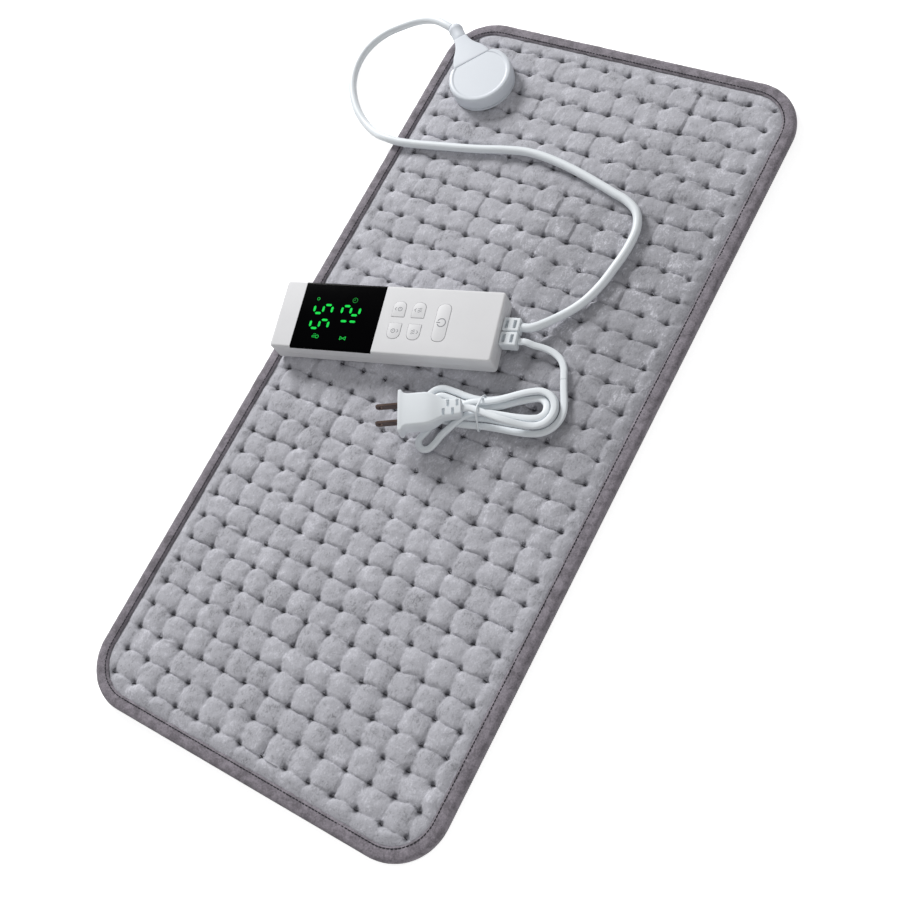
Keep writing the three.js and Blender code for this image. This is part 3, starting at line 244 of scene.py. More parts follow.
def plush_finish(name, top, shaded_pile, low, high, first, pitch):
    """Short pile, brushed in patches and at one place, darker down in its tufts."""
    made = Finish(name)
    shade, bright = darker(top, 0.5), darker(top, 1.45)
    x, y, z = made.axes()
    across, along = DARKER_ZONE_PLACE
    # A broad round zone of the pile, made darker towards its middle.
    darker_zone_spread = (x - across) * (x - across) + (y - along) * (y - along) * 0.5
    top = made.mix(darker_zone_spread.step(0.0, 0.0175), darker(top, 0.78), top)
    broad = made.noise(0.02, 2.0, 0.55, 0.8)
    patches = made.noise(0.0075, 3.0, 0.6, 0.8)
    pile = made.noise(0.0013, 3.0, 0.7)
    strands = made.noise(0.0024, 2.0, 0.7, 1.6, (1.0, 0.45, 1.0))
    # Painted shade: the pile darkens down in its creases, by height.
    depth = (z - low) / (high - low)
    tone = made.mix(depth.step(-0.12, 0.44), shaded_pile, top)
    # Painted shade at each tuft, reaching onto the slope behind it.
    quarter = math.pi / 2
    near_x = ((x - first[0]) * (math.pi / pitch[0]) + quarter).sine() ** 4
    near_y = ((y - first[1] - TUFT_SHADE_SHIFT) * (math.pi / pitch[1]) + quarter).sine() ** 2
    tone = made.mix((near_x * near_y).step(0.72, 1.0) * 0.85, tone, shaded_pile)
    nap = (broad - 0.5) * 0.8 + (patches - 0.5) * 0.7 + (pile - 0.5) * 0.8 + (strands - 0.5) * 0.9
    tone = made.mix((0 - nap).step(0.0, 0.5), tone, shade)
    tone = made.mix(nap.step(0.0, 0.5), tone, bright)
    relief = pile * 0.5 + strands * 0.5
    return made.surface(
        Base_Color=tone, Roughness=0.95, Sheen_Weight=0.12, Sheen_Roughness=0.5,
        Normal=made.bump(relief, 0.0009, 0.8))


def tape_finish(name, tone_rgb):
    """Brushed binding tape with a fine rib."""
    made = Finish(name)
    x, y, _ = made.axes()
    patches = made.noise(0.007, 3.0, 0.6, 0.6)
    fibres = made.noise(0.0012, 3.0, 0.7)
    turn = 2 * math.pi / TAPE_RIB
    rib = ((x + y) * turn).sine() * ((x - y) * turn).sine()
    mottle = ((patches - 0.5) * 1.6 + (fibres - 0.5) * 1.4).step(-0.5, 0.5)
    tone = made.mix(mottle, darker(tone_rgb, 0.62), darker(tone_rgb, 1.42))
    return made.surface(
        Base_Color=tone, Roughness=0.86, Sheen_Weight=0.2, Sheen_Roughness=0.5,
        Normal=made.bump(fibres + rib * 0.12, 0.0006, 0.8))


def woven_finish(name, tone_rgb, thread):
    """Plain weave of two sets of threads."""
    made = Finish(name)
    x, y, _ = made.axes()
    turn = math.pi / thread
    over = (x * turn).sine() * (y * turn).sine()
    slubs = made.noise(0.004, 3.0, 0.6)
    tone = made.mix(over.step(-0.9, 0.9), darker(tone_rgb, 0.8), tone_rgb)
    tone = made.mix(slubs.step(0.45, 0.75) * 0.4, tone, darker(tone_rgb, 0.72))
    return made.surface(
        Base_Color=tone, Roughness=0.92, Normal=made.bump(over + slubs, 0.0002, 0.5))


def felt_finish(name, tone_rgb):
    """Bonded fibre sheet."""
    made = Finish(name)
    fibres = made.noise(0.0012, 5.0, 0.75, 2.0)
    tone = made.mix(fibres, darker(tone_rgb, 0.82), tone_rgb)
    return made.surface(Base_Color=tone, Roughness=1.0, Normal=made.bump(fibres, 0.0003, 0.5))


def moulded_finish(name, tone_rgb, roughness, grain=0.0005, depth=0.00002, coat=0.0):
    """Moulded plastic with a faint grain, and handling marks in its gloss."""
    made = Finish(name)
    fine = made.noise(grain, 2.0, 0.6)
    marks = made.noise(0.018, 4.0, 0.65, 0.8)
    tone = made.mix(marks.step(0.35, 0.75) * 0.5, tone_rgb, darker(tone_rgb, 0.965))
    gloss = (marks - 0.5) * 0.12 + (fine - 0.5) * 0.06 + roughness
    return made.surface(
        Base_Color=tone, Roughness=gloss, Coat_Weight=coat, Specular_IOR_Level=0.3,
        Normal=made.bump(fine, depth, 0.5))


def brushed_finish(name, tone_rgb, roughness, along=(0.08, 1.0, 1.0)):
    """Drawn metal with fine lines and a little tarnish."""
    made = Finish(name)
    lines = made.noise(0.0004, 2.0, 0.6, 0.0, along)
    tarnish = made.noise(0.006, 3.0, 0.6, 0.5)
    tone = made.mix(tarnish.step(0.4, 0.75) * 0.6, tone_rgb, darker(tone_rgb, 0.6))
    return made.surface(
        Base_Color=tone, Metallic=1.0, Roughness=lines * 0.2 + roughness,
        Normal=made.bump(lines, 0.00002, 0.5))


def board_finish(name, tone_rgb):
    """Circuit board with faint tracks under its mask."""
    made = Finish(name)
    x, _, _ = made.axes()
    lines = (x * (math.pi / TRACK_WIDTH)).sine().step(0.2, 0.5)
    tracks = lines * made.noise(0.009, 1.0).step(0.45, 0.55)
    tone = made.mix(tracks * 0.6, tone_rgb, darker(tone_rgb, 1.6))
    return made.surface(Base_Color=tone, Roughness=0.45, Normal=made.bump(tracks, 0.00003, 0.5))


def glass_finish(name, tone_rgb):
    """Smoked window, polished, with a trace of dust."""
    made = Finish(name)
    dust = made.noise(0.0006, 4.0, 0.8).step(0.68, 0.8)
    smear = made.noise(0.02, 3.0, 0.6, 1.0)
    tone = made.mix(dust * 0.06, tone_rgb, (0.03, 0.03, 0.033))
    return made.surface(Base_Color=tone, Roughness=smear * 0.08 + 0.1, Specular_IOR_Level=0.03)


def lamp_finish(name, tone_rgb, strength):
    """Lit segment, a little brighter in patches."""
    made = Finish(name)
    patch = made.noise(0.0016, 2.0, 0.5)
    tone = made.mix(patch.step(0.35, 0.7), darker(tone_rgb, 0.72), tone_rgb)
    return made.surface(
        Base_Color=(0.0, 0.01, 0.0), Roughness=0.5, Specular_IOR_Level=0.05, Emission_Color=tone,
        Emission_Strength=strength)


def thread_finish(name, tone_rgb):
    """Twisted sewing thread."""
    made = Finish(name)
    x, y, z = made.axes()
    twist = ((x + y + z) * (2 * math.pi / THREAD_TWIST)).sine()
    tone = made.mix(twist.step(-0.6, 0.8), darker(tone_rgb, 0.6), tone_rgb)
    return made.surface(Base_Color=tone, Roughness=0.8, Normal=made.bump(twist, 0.00008, 0.6))


# Mesh code


def piece(name, vertices, faces, material, body=PAD_BODY, slot=None, stands_for=(), sharp=35):
    """A mesh object in the frame, riding on a body, smooth except at sharp edges."""
    mesh = bpy.data.meshes.new(name)
    mesh.from_pydata([tuple(v) for v in vertices], [], faces)
    return dress(name, mesh, material, body, stands_for, sharp)


def dress(name, mesh, material, body, stands_for, sharp):
    """An object of a finished mesh, with its finish, body, slot and CAD nodes."""
    mesh.update()
    mesh.shade_smooth()
    mesh.set_sharp_from_angle(angle=math.radians(sharp))
    mesh.materials.clear()
    mesh.materials.append(material)
    made = bpy.data.objects.new(name, mesh)
    bpy.context.scene.collection.objects.link(made)
    if body:
        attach(made, body)
    if stands_for:
        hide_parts(*stands_for)
    return made


def circle(radius, count, x=0.0, y=0.0):
    """Points round a circle, anticlockwise."""
    return [(x + radius * math.cos(turn), y + radius * math.sin(turn))
            for turn in np.linspace(0, 2 * math.pi, count, endpoint=False)]


def rounded(width, height, corner, steps=6, x=0.0, y=0.0):
    """Points round a rectangle with rounded corners, anticlockwise."""
    corners = (corner,) * 4
    return panel(x - width / 2, x + width / 2, y - height / 2, y + height / 2, corners, steps)


def panel(left, right, low, high, corners, steps=6):
    """As rounded, with a radius for the corners low left, low right, high right and high left."""
    points = []
    places = [(left, low, 1, 1, 180), (right, low, -1, 1, 270),
              (right, high, -1, -1, 0), (left, high, 1, -1, 90)]
    for (x, y, way_x, way_y, start), corner in zip(places, corners):
        centre = (x + way_x * corner, y + way_y * corner)
        for step in range(steps + 1):
            angle = math.radians(start + 90 * step / steps)
            points.append(
                (centre[0] + corner * math.cos(angle), centre[1] + corner * math.sin(angle)))
    return points


def loft(rings, caps=True):
    """A skin through rings of equal count, given in order, with closed ends."""
    count = len(rings[0])
    vertices = [point for ring in rings for point in ring]
    faces = []
    for level in range(len(rings) - 1):
        base = level * count
        for i in range(count):
            j = (i + 1) % count
            faces.append((base + i, base + j, base + count + j, base + count + i))
    if caps:
        faces.append(tuple(reversed(range(count))))
        faces.append(tuple(range((len(rings) - 1) * count, len(rings) * count)))
    return vertices, faces


def rolled_edges(low, high, edge, steps, bottom_edge=None):
    """(height, inset) up the side of a slab whose edges are rolled over."""
    under = edge if bottom_edge is None else bottom_edge
    turns = [math.pi / 2 * step / steps for step in range(steps + 1)]
    lower = [(low + under * (1 - math.cos(turn)), under * (1 - math.sin(turn))) for turn in turns]
    upper = [(high - edge * (1 - math.sin(turn)), edge * (1 - math.cos(turn))) for turn in turns]
    return lower + upper


def pillow(outline, low, high, edge, steps=5, bottom_edge=None):
    """A slab with rolled edges. outline(inset) gives its points at that inset."""
    return loft([[(x, y, z) for x, y in outline(inset)]
                 for z, inset in rolled_edges(low, high, edge, steps, bottom_edge)])


def closed_loft(rings):
    """A skin through rings that follow one another round a closed loop."""
    vertices, faces = loft([*rings, rings[0]], caps=False)
    total = len(rings) * len(rings[0])
    return vertices[:total], [tuple(k % total for k in face) for face in faces]


def gather(parts):
    """Several solids as one list of vertices and one of faces."""
    vertices, faces = [], []
    for part_vertices, part_faces in parts:
        start = len(vertices)
        vertices += part_vertices
        faces += [tuple(start + k for k in face) for face in part_faces]
    return vertices, faces


def slab(points, low, high):
    """An upright solid on a plan, which may run either way round."""
    turning = sum(a[0] * b[1] - b[0] * a[1] for a, b in zip(points, points[1:] + points[:1]))
    plan = points if turning > 0 else points[::-1]
    return loft([[(x, y, z) for x, y in plan] for z in (low, high)])


def block(width, depth, corner, steps, low, high, x=0.0, y=0.0):
    """An upright block with rounded corners, with all its sizes in millimetres."""
    plan = rounded(width * MM, depth * MM, corner * MM, steps, x * MM, y * MM)
    return slab(plan, low * MM, high * MM)


def post(radius, low, high, x, y, sides=24):
    """An upright round solid, with all its sizes in millimetres."""
    return slab([(a * MM, b * MM) for a, b in circle(radius, sides, x, y)], low * MM, high * MM)


def solid_object(name, vertices, faces):
    """A plain object for the carving to work on."""
    mesh = bpy.data.meshes.new(name)
    mesh.from_pydata([tuple(v) for v in vertices], [], faces)
    made = bpy.data.objects.new(name, mesh)
    bpy.context.scene.collection.objects.link(made)
    return made


def carve(vertices, faces, tools, joined=()):
    """The solid without the tools, and with the joined solids, as a mesh."""
    target = solid_object("work", vertices, faces)
    helpers = []
    for operation, solids in (("UNION", joined), ("DIFFERENCE", tools)):
        for tool in solids:
            helper = solid_object("tool", *tool)
            helpers.append(helper)
            modifier = target.modifiers.new("carve", "BOOLEAN")
            modifier.operation = operation
            modifier.solver = "EXACT"
            modifier.object = helper
    bpy.context.view_layer.update()
    evaluated = target.evaluated_get(bpy.context.evaluated_depsgraph_get())
    mesh = bpy.data.meshes.new_from_object(evaluated)
    for work in [target, *helpers]:
        bpy.data.objects.remove(work)
    return mesh


def solid_of(mesh):
    """Vertices and faces of a carved mesh, to carve it again."""
    return [v.co.copy() for v in mesh.vertices], [tuple(f.vertices) for f in mesh.polygons]


def placed(mesh, matrix):
    """The mesh, moved to a place on the object."""
    mesh.transform(matrix)
    return mesh


def moved(points, matrix):
    """Points, moved to a place on the object."""
    return [matrix @ Vector(point) for point in points]


def turn_profile(profile, sides=48):
    """A body of revolution about Z from (radius, height) pairs in millimetres."""
    return loft([[(x, y, z * MM) for x, y in circle(radius * MM, sides)] for radius, z in profile])


def along_x(vertices):
    """Turns a body made about Z so that it lies along X."""
    return [(z, x, y) for x, y, z in vertices]


def level_frames(points):
    """Side and up at each point of a line, with the side level."""
    frames = []
    for i in range(len(points)):
        before, after = points[max(i - 1, 0)], points[min(i + 1, len(points) - 1)]
        tangent = (after - before).normalized()
        side = Vector((0, 0, 1)).cross(tangent).normalized()
        frames.append((side, tangent.cross(side)))
    return frames


def sweep(points, section):
    """A tube along points with a level section of (side, up) pairs."""
    rings = []
    for point, (side, up) in zip(points, level_frames(points)):
        rings.append([tuple(point + side * a + up * b) for a, b in section])
    return loft(rings)


def smooth_line(points, spacing):
    """Catmull-Rom through the points, with points at the given spacing."""
    dense = []
    ends = [points[0] * 2 - points[1], *points, points[-1] * 2 - points[-2]]
    for i in range(1, len(ends) - 2):
        p0, p1, p2, p3 = ends[i - 1:i + 3]
        t0, t1 = 0.0, (p1 - p0).length ** 0.5
        t2 = t1 + (p2 - p1).length ** 0.5
        t3 = t2 + (p3 - p2).length ** 0.5
        for step in range(24):
            t = t1 + (t2 - t1) * step / 24
            a1 = p0 * ((t1 - t) / (t1 - t0)) + p1 * ((t - t0) / (t1 - t0))
            a2 = p1 * ((t2 - t) / (t2 - t1)) + p2 * ((t - t1) / (t2 - t1))
            a3 = p2 * ((t3 - t) / (t3 - t2)) + p3 * ((t - t2) / (t3 - t2))
            b1 = a1 * ((t2 - t) / (t2 - t0)) + a2 * ((t - t0) / (t2 - t0))
            b2 = a2 * ((t3 - t) / (t3 - t1)) + a3 * ((t - t1) / (t3 - t1))
            dense.append(b1 * ((t2 - t) / (t2 - t1)) + b2 * ((t - t1) / (t2 - t1)))
    dense.append(points[-1])
    return even(dense, spacing)


def even(dense, spacing):
    """The same line with points at equal distances."""
    reached = [0.0]
    for a, b in zip(dense, dense[1:]):
        reached.append(reached[-1] + (b - a).length)
    count = max(2, round(reached[-1] / spacing))
    wanted = np.linspace(0, reached[-1], count + 1)
    columns = [np.interp(wanted, reached, [p[k] for p in dense]) for k in range(3)]
    return [Vector(p) for p in zip(*columns)]


def twin_section(width, thickness):
    """Flat twin cord: two round lobes with a shallow groove between them."""
    radius = thickness / 2
    centre = width / 2 - radius
    groove = radius * 0.86
    points = []
    for start, x in ((-70, centre), (110, -centre)):
        for step in range(8):
            angle = math.radians(start + 140 * step / 7)
            points.append((x + radius * math.cos(angle), radius * math.sin(angle)))
        points.append((0.0, groove if x > 0 else -groove))
    return points


def smooth(low, high, value):
    """0 below low and 1 above high, smooth between."""
    share = min(max((value - low) / (high - low), 0), 1)
    return share * share * (3 - 2 * share)


def mixed(a, b, share):
    """The value at a share of the way from a to b."""
    return a + (b - a) * share


# Places and routes, as in the CAD, in millimetres


def place(x, y, z, degrees):
    """A frame at a place in millimetres, turned about the upright axis."""
    turn = Matrix.Rotation(math.radians(degrees), 4, "Z")
    return Matrix.Translation((x * MM, y * MM, z * MM)) @ turn


CONTROLLER = place(-59.4, 26.9, 0, 15.4)
CONNECTOR = place(-97.5, 240.3, 0, 140.3)
HANK = place(35.7, -6.6, 0, 18)
ON_PAD = 9.6
FIT = 0.3
TIE_THICKNESS = 1
CORD_THICKNESS = 3.2
LAYER_GAP = 0.5
PLUG_TAIL_HALF = 4.3
LOWER_LAYER = ON_PAD + TIE_THICKNESS + FIT + CORD_THICKNESS / 2
UPPER_LAYER = LOWER_LAYER + CORD_THICKNESS + LAYER_GAP
TAIL_LEVEL = UPPER_LAYER + CORD_THICKNESS / 2 + FIT + PLUG_TAIL_HALF
MAINS_PLUG = place(26.2, -12.7, TAIL_LEVEL, 209.4) @ Matrix.Rotation(math.radians(-7.5), 4, "Y")
SHELL_BOTTOM = ON_PAD
SHELL_TOP = SHELL_BOTTOM + 18
PARTING = SHELL_BOTTOM + 7.6
GLAND_LEVEL = PARTING + FIT / 2
CONTROLLER_LENGTH = 172
CONTROLLER_WIDTH = 54
GLAND_OFFSET = 5.5
GLAND_LENGTH = 12.5
GLAND_START = CONTROLLER_LENGTH / 2 + FIT
CORD_START = GLAND_START + GLAND_LENGTH + FIT
SOCKET_TOP = 22
SOCKET_FLOOR = ON_PAD
PIN_LEVEL = 15.7
PLUG_HEIGHT = 11.2
PLUG_END = 43.4
PLUG_TOP = SOCKET_TOP - FIT
PLUG_MIDDLE = PLUG_TOP - PLUG_HEIGHT / 2
BOOT_LENGTH = 18.2
KNOB_RADIUS = 5.7
KNOB_MIDDLE = PLUG_END + FIT + BOOT_LENGTH - KNOB_RADIUS
KNOB_EXIT_TURN = math.radians(24.7)
LEAD_STRAIGHT = 6.4
MAINS_STRAIGHT = 5

LEAD_ROUTE = [
    (54.9, 77.5, 13.1), (64.6, 91.8, 12.9), (70.4, 107.5, 12.9), (73.6, 124.3, 12.9),
    (75.6, 140.5, 12.9), (74.6, 157.5, 12.9), (68.6, 169.1, 12.9), (58.6, 175.2, 12.9),
    (46.4, 178.6, 12.9), (27.0, 183.7, 12.9), (7.4, 188.2, 12.9), (-12.0, 191.2, 12.9),
    (-30.2, 192.0, 12.9), (-46.8, 189.5, 12.9), (-71.5, 183.4, 12.9), (-106.0, 176.5, 12.9),
    (-123.7, 173.2, 12.9), (-138.2, 171.4, 12.9), (-151.0, 172.4, 12.0), (-164.0, 176.2, 7.6),
    (-178.0, 182.6, 4.2), (-191.5, 191.2, 3.6), (-202.3, 201.6, 3.6), (-210.9, 213.3, 3.6),
    (-216.6, 227.5, 3.6), (-218.2, 243.0, 3.6), (-214.9, 256.8, 3.6), (-207.6, 268.0, 4.0),
    (-196.8, 275.6, 5.8), (-184.0, 281.2, 8.8), (-171.8, 283.0, 12.0), (-161.5, 281.8, 14.8),
]
MAINS_ROUTE = [
    (48.1, 49.6, 15.6), (56.5, 50.8, 13.6), (64.6, 49.8, 12.7), (71.2, 46.4, 12.5),
    (75.6, 41.0, 12.5),
]
HANK_START = (78.8, 34.4)
HANK_ENTRY = [(81.9, 28.2), (85.1, 22.4)]
HANK_TURNS = 3 + 1 / 8
BENT_SPINE = 20
BIG_END, BIG_LOBE = 38.8, 7.1
SMALL_ENDS, SMALL_LOBE = (31.6, 44.9), 2.9
SMALL_SWINGS = (math.radians(-14), math.radians(45))
BIG_SWING = math.radians(6)
WAIST = 1.2
STRAND_PITCH = 5.7


def at(matrix, x, y, z):
    """A place in a frame's own millimetres, as a point of the scene."""
    return matrix @ Vector((x * MM, y * MM, z * MM))


def out_of_knob(distance):
    """A place on the lead's way out of the plug's ball, at a distance from its middle."""
    return at(CONNECTOR, KNOB_MIDDLE + distance * math.cos(KNOB_EXIT_TURN),
              distance * math.sin(KNOB_EXIT_TURN), PLUG_MIDDLE)


def lead_line():
    """The round lead's middle line, from the controller to the pad plug."""
    points = [
        at(CONTROLLER, CORD_START, GLAND_OFFSET, GLAND_LEVEL),
        at(CONTROLLER, CORD_START + LEAD_STRAIGHT, GLAND_OFFSET, GLAND_LEVEL),
        *[Vector(p) * MM for p in LEAD_ROUTE],
        out_of_knob(KNOB_RADIUS + FIT + LEAD_STRAIGHT),
        out_of_knob(KNOB_RADIUS - 0.2),
    ]
    return smooth_line(points, 2.2 * MM)


def mains_lead_line():
    """The flat cord's middle line, from the controller to the hank."""
    start = Vector((*HANK_START, LOWER_LAYER))
    way = Vector((HANK_ENTRY[0][0] - start.x, HANK_ENTRY[0][1] - start.y, 0)).normalized()
    points = [
        at(CONTROLLER, CORD_START, -GLAND_OFFSET, GLAND_LEVEL),
        at(CONTROLLER, CORD_START + MAINS_STRAIGHT, -GLAND_OFFSET, GLAND_LEVEL),
        *[Vector(p) * MM for p in MAINS_ROUTE],
        (start - way * (MAINS_STRAIGHT + FIT)) * MM,
        (start - way * FIT) * MM,
    ]
    return smooth_line(points, 1.6 * MM)


def on_spine(along, across, height, swing):
    """A place beside the hank's middle line, which bends by the swing at its waist."""
    reach, way = abs(along), -1 if along < 0 else 1
    bent = min(reach, BENT_SPINE)
    turn = swing * bent / BENT_SPINE
    arc = BENT_SPINE / swing if swing else 0
    straight = reach - bent
    x = arc * math.sin(turn) + straight * math.cos(turn)
    y = arc * (1 - math.cos(turn)) + straight * math.sin(turn)
    return at(HANK, way * x - across * math.sin(turn), way * y + across * math.cos(turn), height)


def loop_point(turns):
    """A point of the hank's cord after that many loops, as the CAD winds it."""
    share = turns - math.floor(turns)
    offset = STRAND_PITCH * abs(2 - turns)
    climb = smooth(1.75, 2.25, turns)
    small_end = mixed(*SMALL_ENDS, climb)
    small_swing = mixed(*SMALL_SWINGS, climb)
    if share < 1 / 8 or share >= 7 / 8:
        angle = (share if share < 1 / 8 else share - 1) * 4 * math.pi
        along = BIG_END + (BIG_LOBE + offset) * math.cos(angle)
        across = -(BIG_LOBE + offset) * math.sin(angle)
    elif abs(share - 1 / 2) < 1 / 8:
        angle = (share - 1 / 2) * 4 * math.pi
        along = -small_end - (SMALL_LOBE + offset) * math.cos(angle)
        across = (SMALL_LOBE + offset) * math.sin(angle)
    else:
        way = -1 if share < 1 / 2 else 1
        run = (share - 1 / 8 if way < 0 else 7 / 8 - share) * 4
        along = mixed(BIG_END, -small_end, run)
        end, lobe = (BIG_END, BIG_LOBE) if along > 0 else (small_end, SMALL_LOBE)
        across = way * (mixed(WAIST, lobe, smooth(0, 1, abs(along) / end)) + offset)
    droop = climb * smooth(32, 44, -along)
    height = mixed(mixed(LOWER_LAYER, UPPER_LAYER, climb), LOWER_LAYER, droop)
    return on_spine(along, across, height, BIG_SWING if along > 0 else small_swing)


def hank_line():
    """The wound cord from its junction with the free lead to the mains plug."""
    steps = 72
    points = [Vector((*HANK_START, LOWER_LAYER)) * MM]
    points += [Vector((x, y, LOWER_LAYER)) * MM for x, y in HANK_ENTRY]
    points += [loop_point(i / steps) for i in range(round(HANK_TURNS * steps) + 1)]
    start = loop_point(HANK_TURNS)
    before_end = at(MAINS_PLUG, -5, 0, 0)
    for step in range(1, 9):
        share = step / 9
        beside = loop_point(HANK_TURNS + share / 8)
        point = beside.lerp(start.lerp(before_end, share), smooth(0.35, 1, share))
        point.z = mixed(UPPER_LAYER * MM, before_end.z, smooth(0, 0.6, share))
        points.append(point)
    points += [before_end, at(MAINS_PLUG, -FIT, 0, 0)]
    return smooth_line(points, 1.5 * MM)


# Pieces of the pad: the quilt's values in metres, the others in millimetres

TUFT_HOLD = 0.004
COLUMN_SWAY, ROW_SWAY = 0.0009, 0.0011
COLUMN_WANDER, ROW_WANDER = 0.03, 0.024
ROW_BOW, COLUMN_BOW = 0.0013, 0.0009
BORDER_LOW, BORDER_FADE = 0.8, 0.005
PLUMP_SPREAD = 0.13
FAINT_MIDDLE, FAINT_SPREAD, FAINT_MOST = 0.05, 0.16, 0.5
ROW_FLOOR, ROW_FALL, ROW_FAINTNESS = 0.36, 0.24, 0.4
COLUMN_FLOOR, COLUMN_CLIMB, COLUMN_FAINTNESS, COLUMN_MOST = 0.4, 0.5, 0.6, 0.96
ROW_CURVES = ((0.78, 13), (0.22, 2))
CRUMPLES = ((0.1, 5, 0.009), (0.05, 6, 0.0045))
FOLDS, FOLD_DEPTH, FOLD_RAMP, FOLD_REACH = 5, 0.13, 0.003, 0.0042
DIMPLES = ((0.46, 0.0032), (0.12, 0.006))
LEAST_RISE, MOST_RISE = -0.18, 1.04
UNDER_TAPE, TAPE_CLIMB, TAPE_CURVE = 0.001, 0.008, 0.7
HIDDEN_RIM = 6
COVER_OPENING = 18.4
TUFT_THREAD = 0.8
TUFT_SINK = 0.4
TUFT_CLEARING = 20
BAR_SWING = 0.25
BAR_STEPS = (-1.3, -0.8, 0, 0.8, 1.3)
BAR_CREST, BAR_BEND = 0.3, 0.16
TAPE_WALL = 1.2
SEAM_THREAD = 0.8
SEAM_INSET = 1.7
TAPE_JOINS = (0.145, 0.437, 0.612, 0.871)
TAPE_JOIN_STEPS = 5
SHEET_INSET = 2.7
SOCKET_BASE_RADIUS = 29.3
WIRE_PITCH = 256 / 11
CUT_OUT_AT = 117
POCKET_WIDTH, POCKET_LENGTH = 5.6, 11.6
BACK_WALL, CARRIER_MARGIN = 3, 3.3
BACK_LEVELS, BACK_HOLLOW = (0.02, 1), (1, 4)
BACK_RISE, BACK_LIP = (0.5, 2.5), (1.5, 2.5)
CARRIER_LEVELS, WADDING_LEVELS = (1.3, 1.8), (4.0, 4.8)


def settings():
    """The property groups with the pad's sizes, the cords' sizes and the colours."""
    scene = bpy.context.scene
    return scene.pad_sizes, scene.cord_sizes, scene.pad_colours


def pad_outline(sizes, inset, steps=12):
    """The pad's plan at an inset in metres."""
    return rounded(sizes.width - 2 * inset, sizes.length - 2 * inset, sizes.corner - inset, steps)


def wobble(x, y, seed, size):
    """Smooth wandering values between about -1 and 1, the same on each run."""
    chance = np.random.default_rng(seed)
    total = np.zeros_like(x)
    for _ in range(10):
        angle, phase = chance.uniform(0, 2 * math.pi, 2)
        pace = chance.uniform(0.6, 1.6) * 2 * math.pi / size
        total += np.sin((x * math.cos(angle) + y * math.sin(angle)) * pace + phase)
    return total / 4.5


def tuft_lines(length, pitch, tape_width):
    """Places of the lines of tufts across a length, evenly about its middle."""
    inside = length - 2 * (tape_width + FIT * MM)
    count = math.floor(inside / pitch)
    return np.array([(i - (count - 1) / 2) * pitch for i in range(count)])


def fine_lines(lines, pitch, reach, steps):
    """Places along one direction, closer together beside each line of tufts."""
    shares = [0.5 * (1 - math.cos(math.pi * k / steps)) for k in range(steps)]
    shares = [0.35 * k / steps + 0.65 * s for k, s in enumerate(shares)]
    starts = [lines[0] - pitch, *lines]
    places = [start + share * pitch for start in starts for share in shares]
    places = [p for p in places if abs(p) < reach]
    return np.array([-reach, *places, reach])


def edge_distance(x, y, sizes):
    """Distance inward from the pad's rounded outline, at each point."""
    edge = np.minimum(sizes.width / 2 - np.abs(x), sizes.length / 2 - np.abs(y))
    corner_x = np.maximum(np.abs(x) - sizes.width / 2 + sizes.corner, 0)
    corner_y = np.maximum(np.abs(y) - sizes.length / 2 + sizes.corner, 0)
    at_corner = (corner_x > 0) & (corner_y > 0)
    return np.where(at_corner, sizes.corner - np.hypot(corner_x, corner_y), edge)


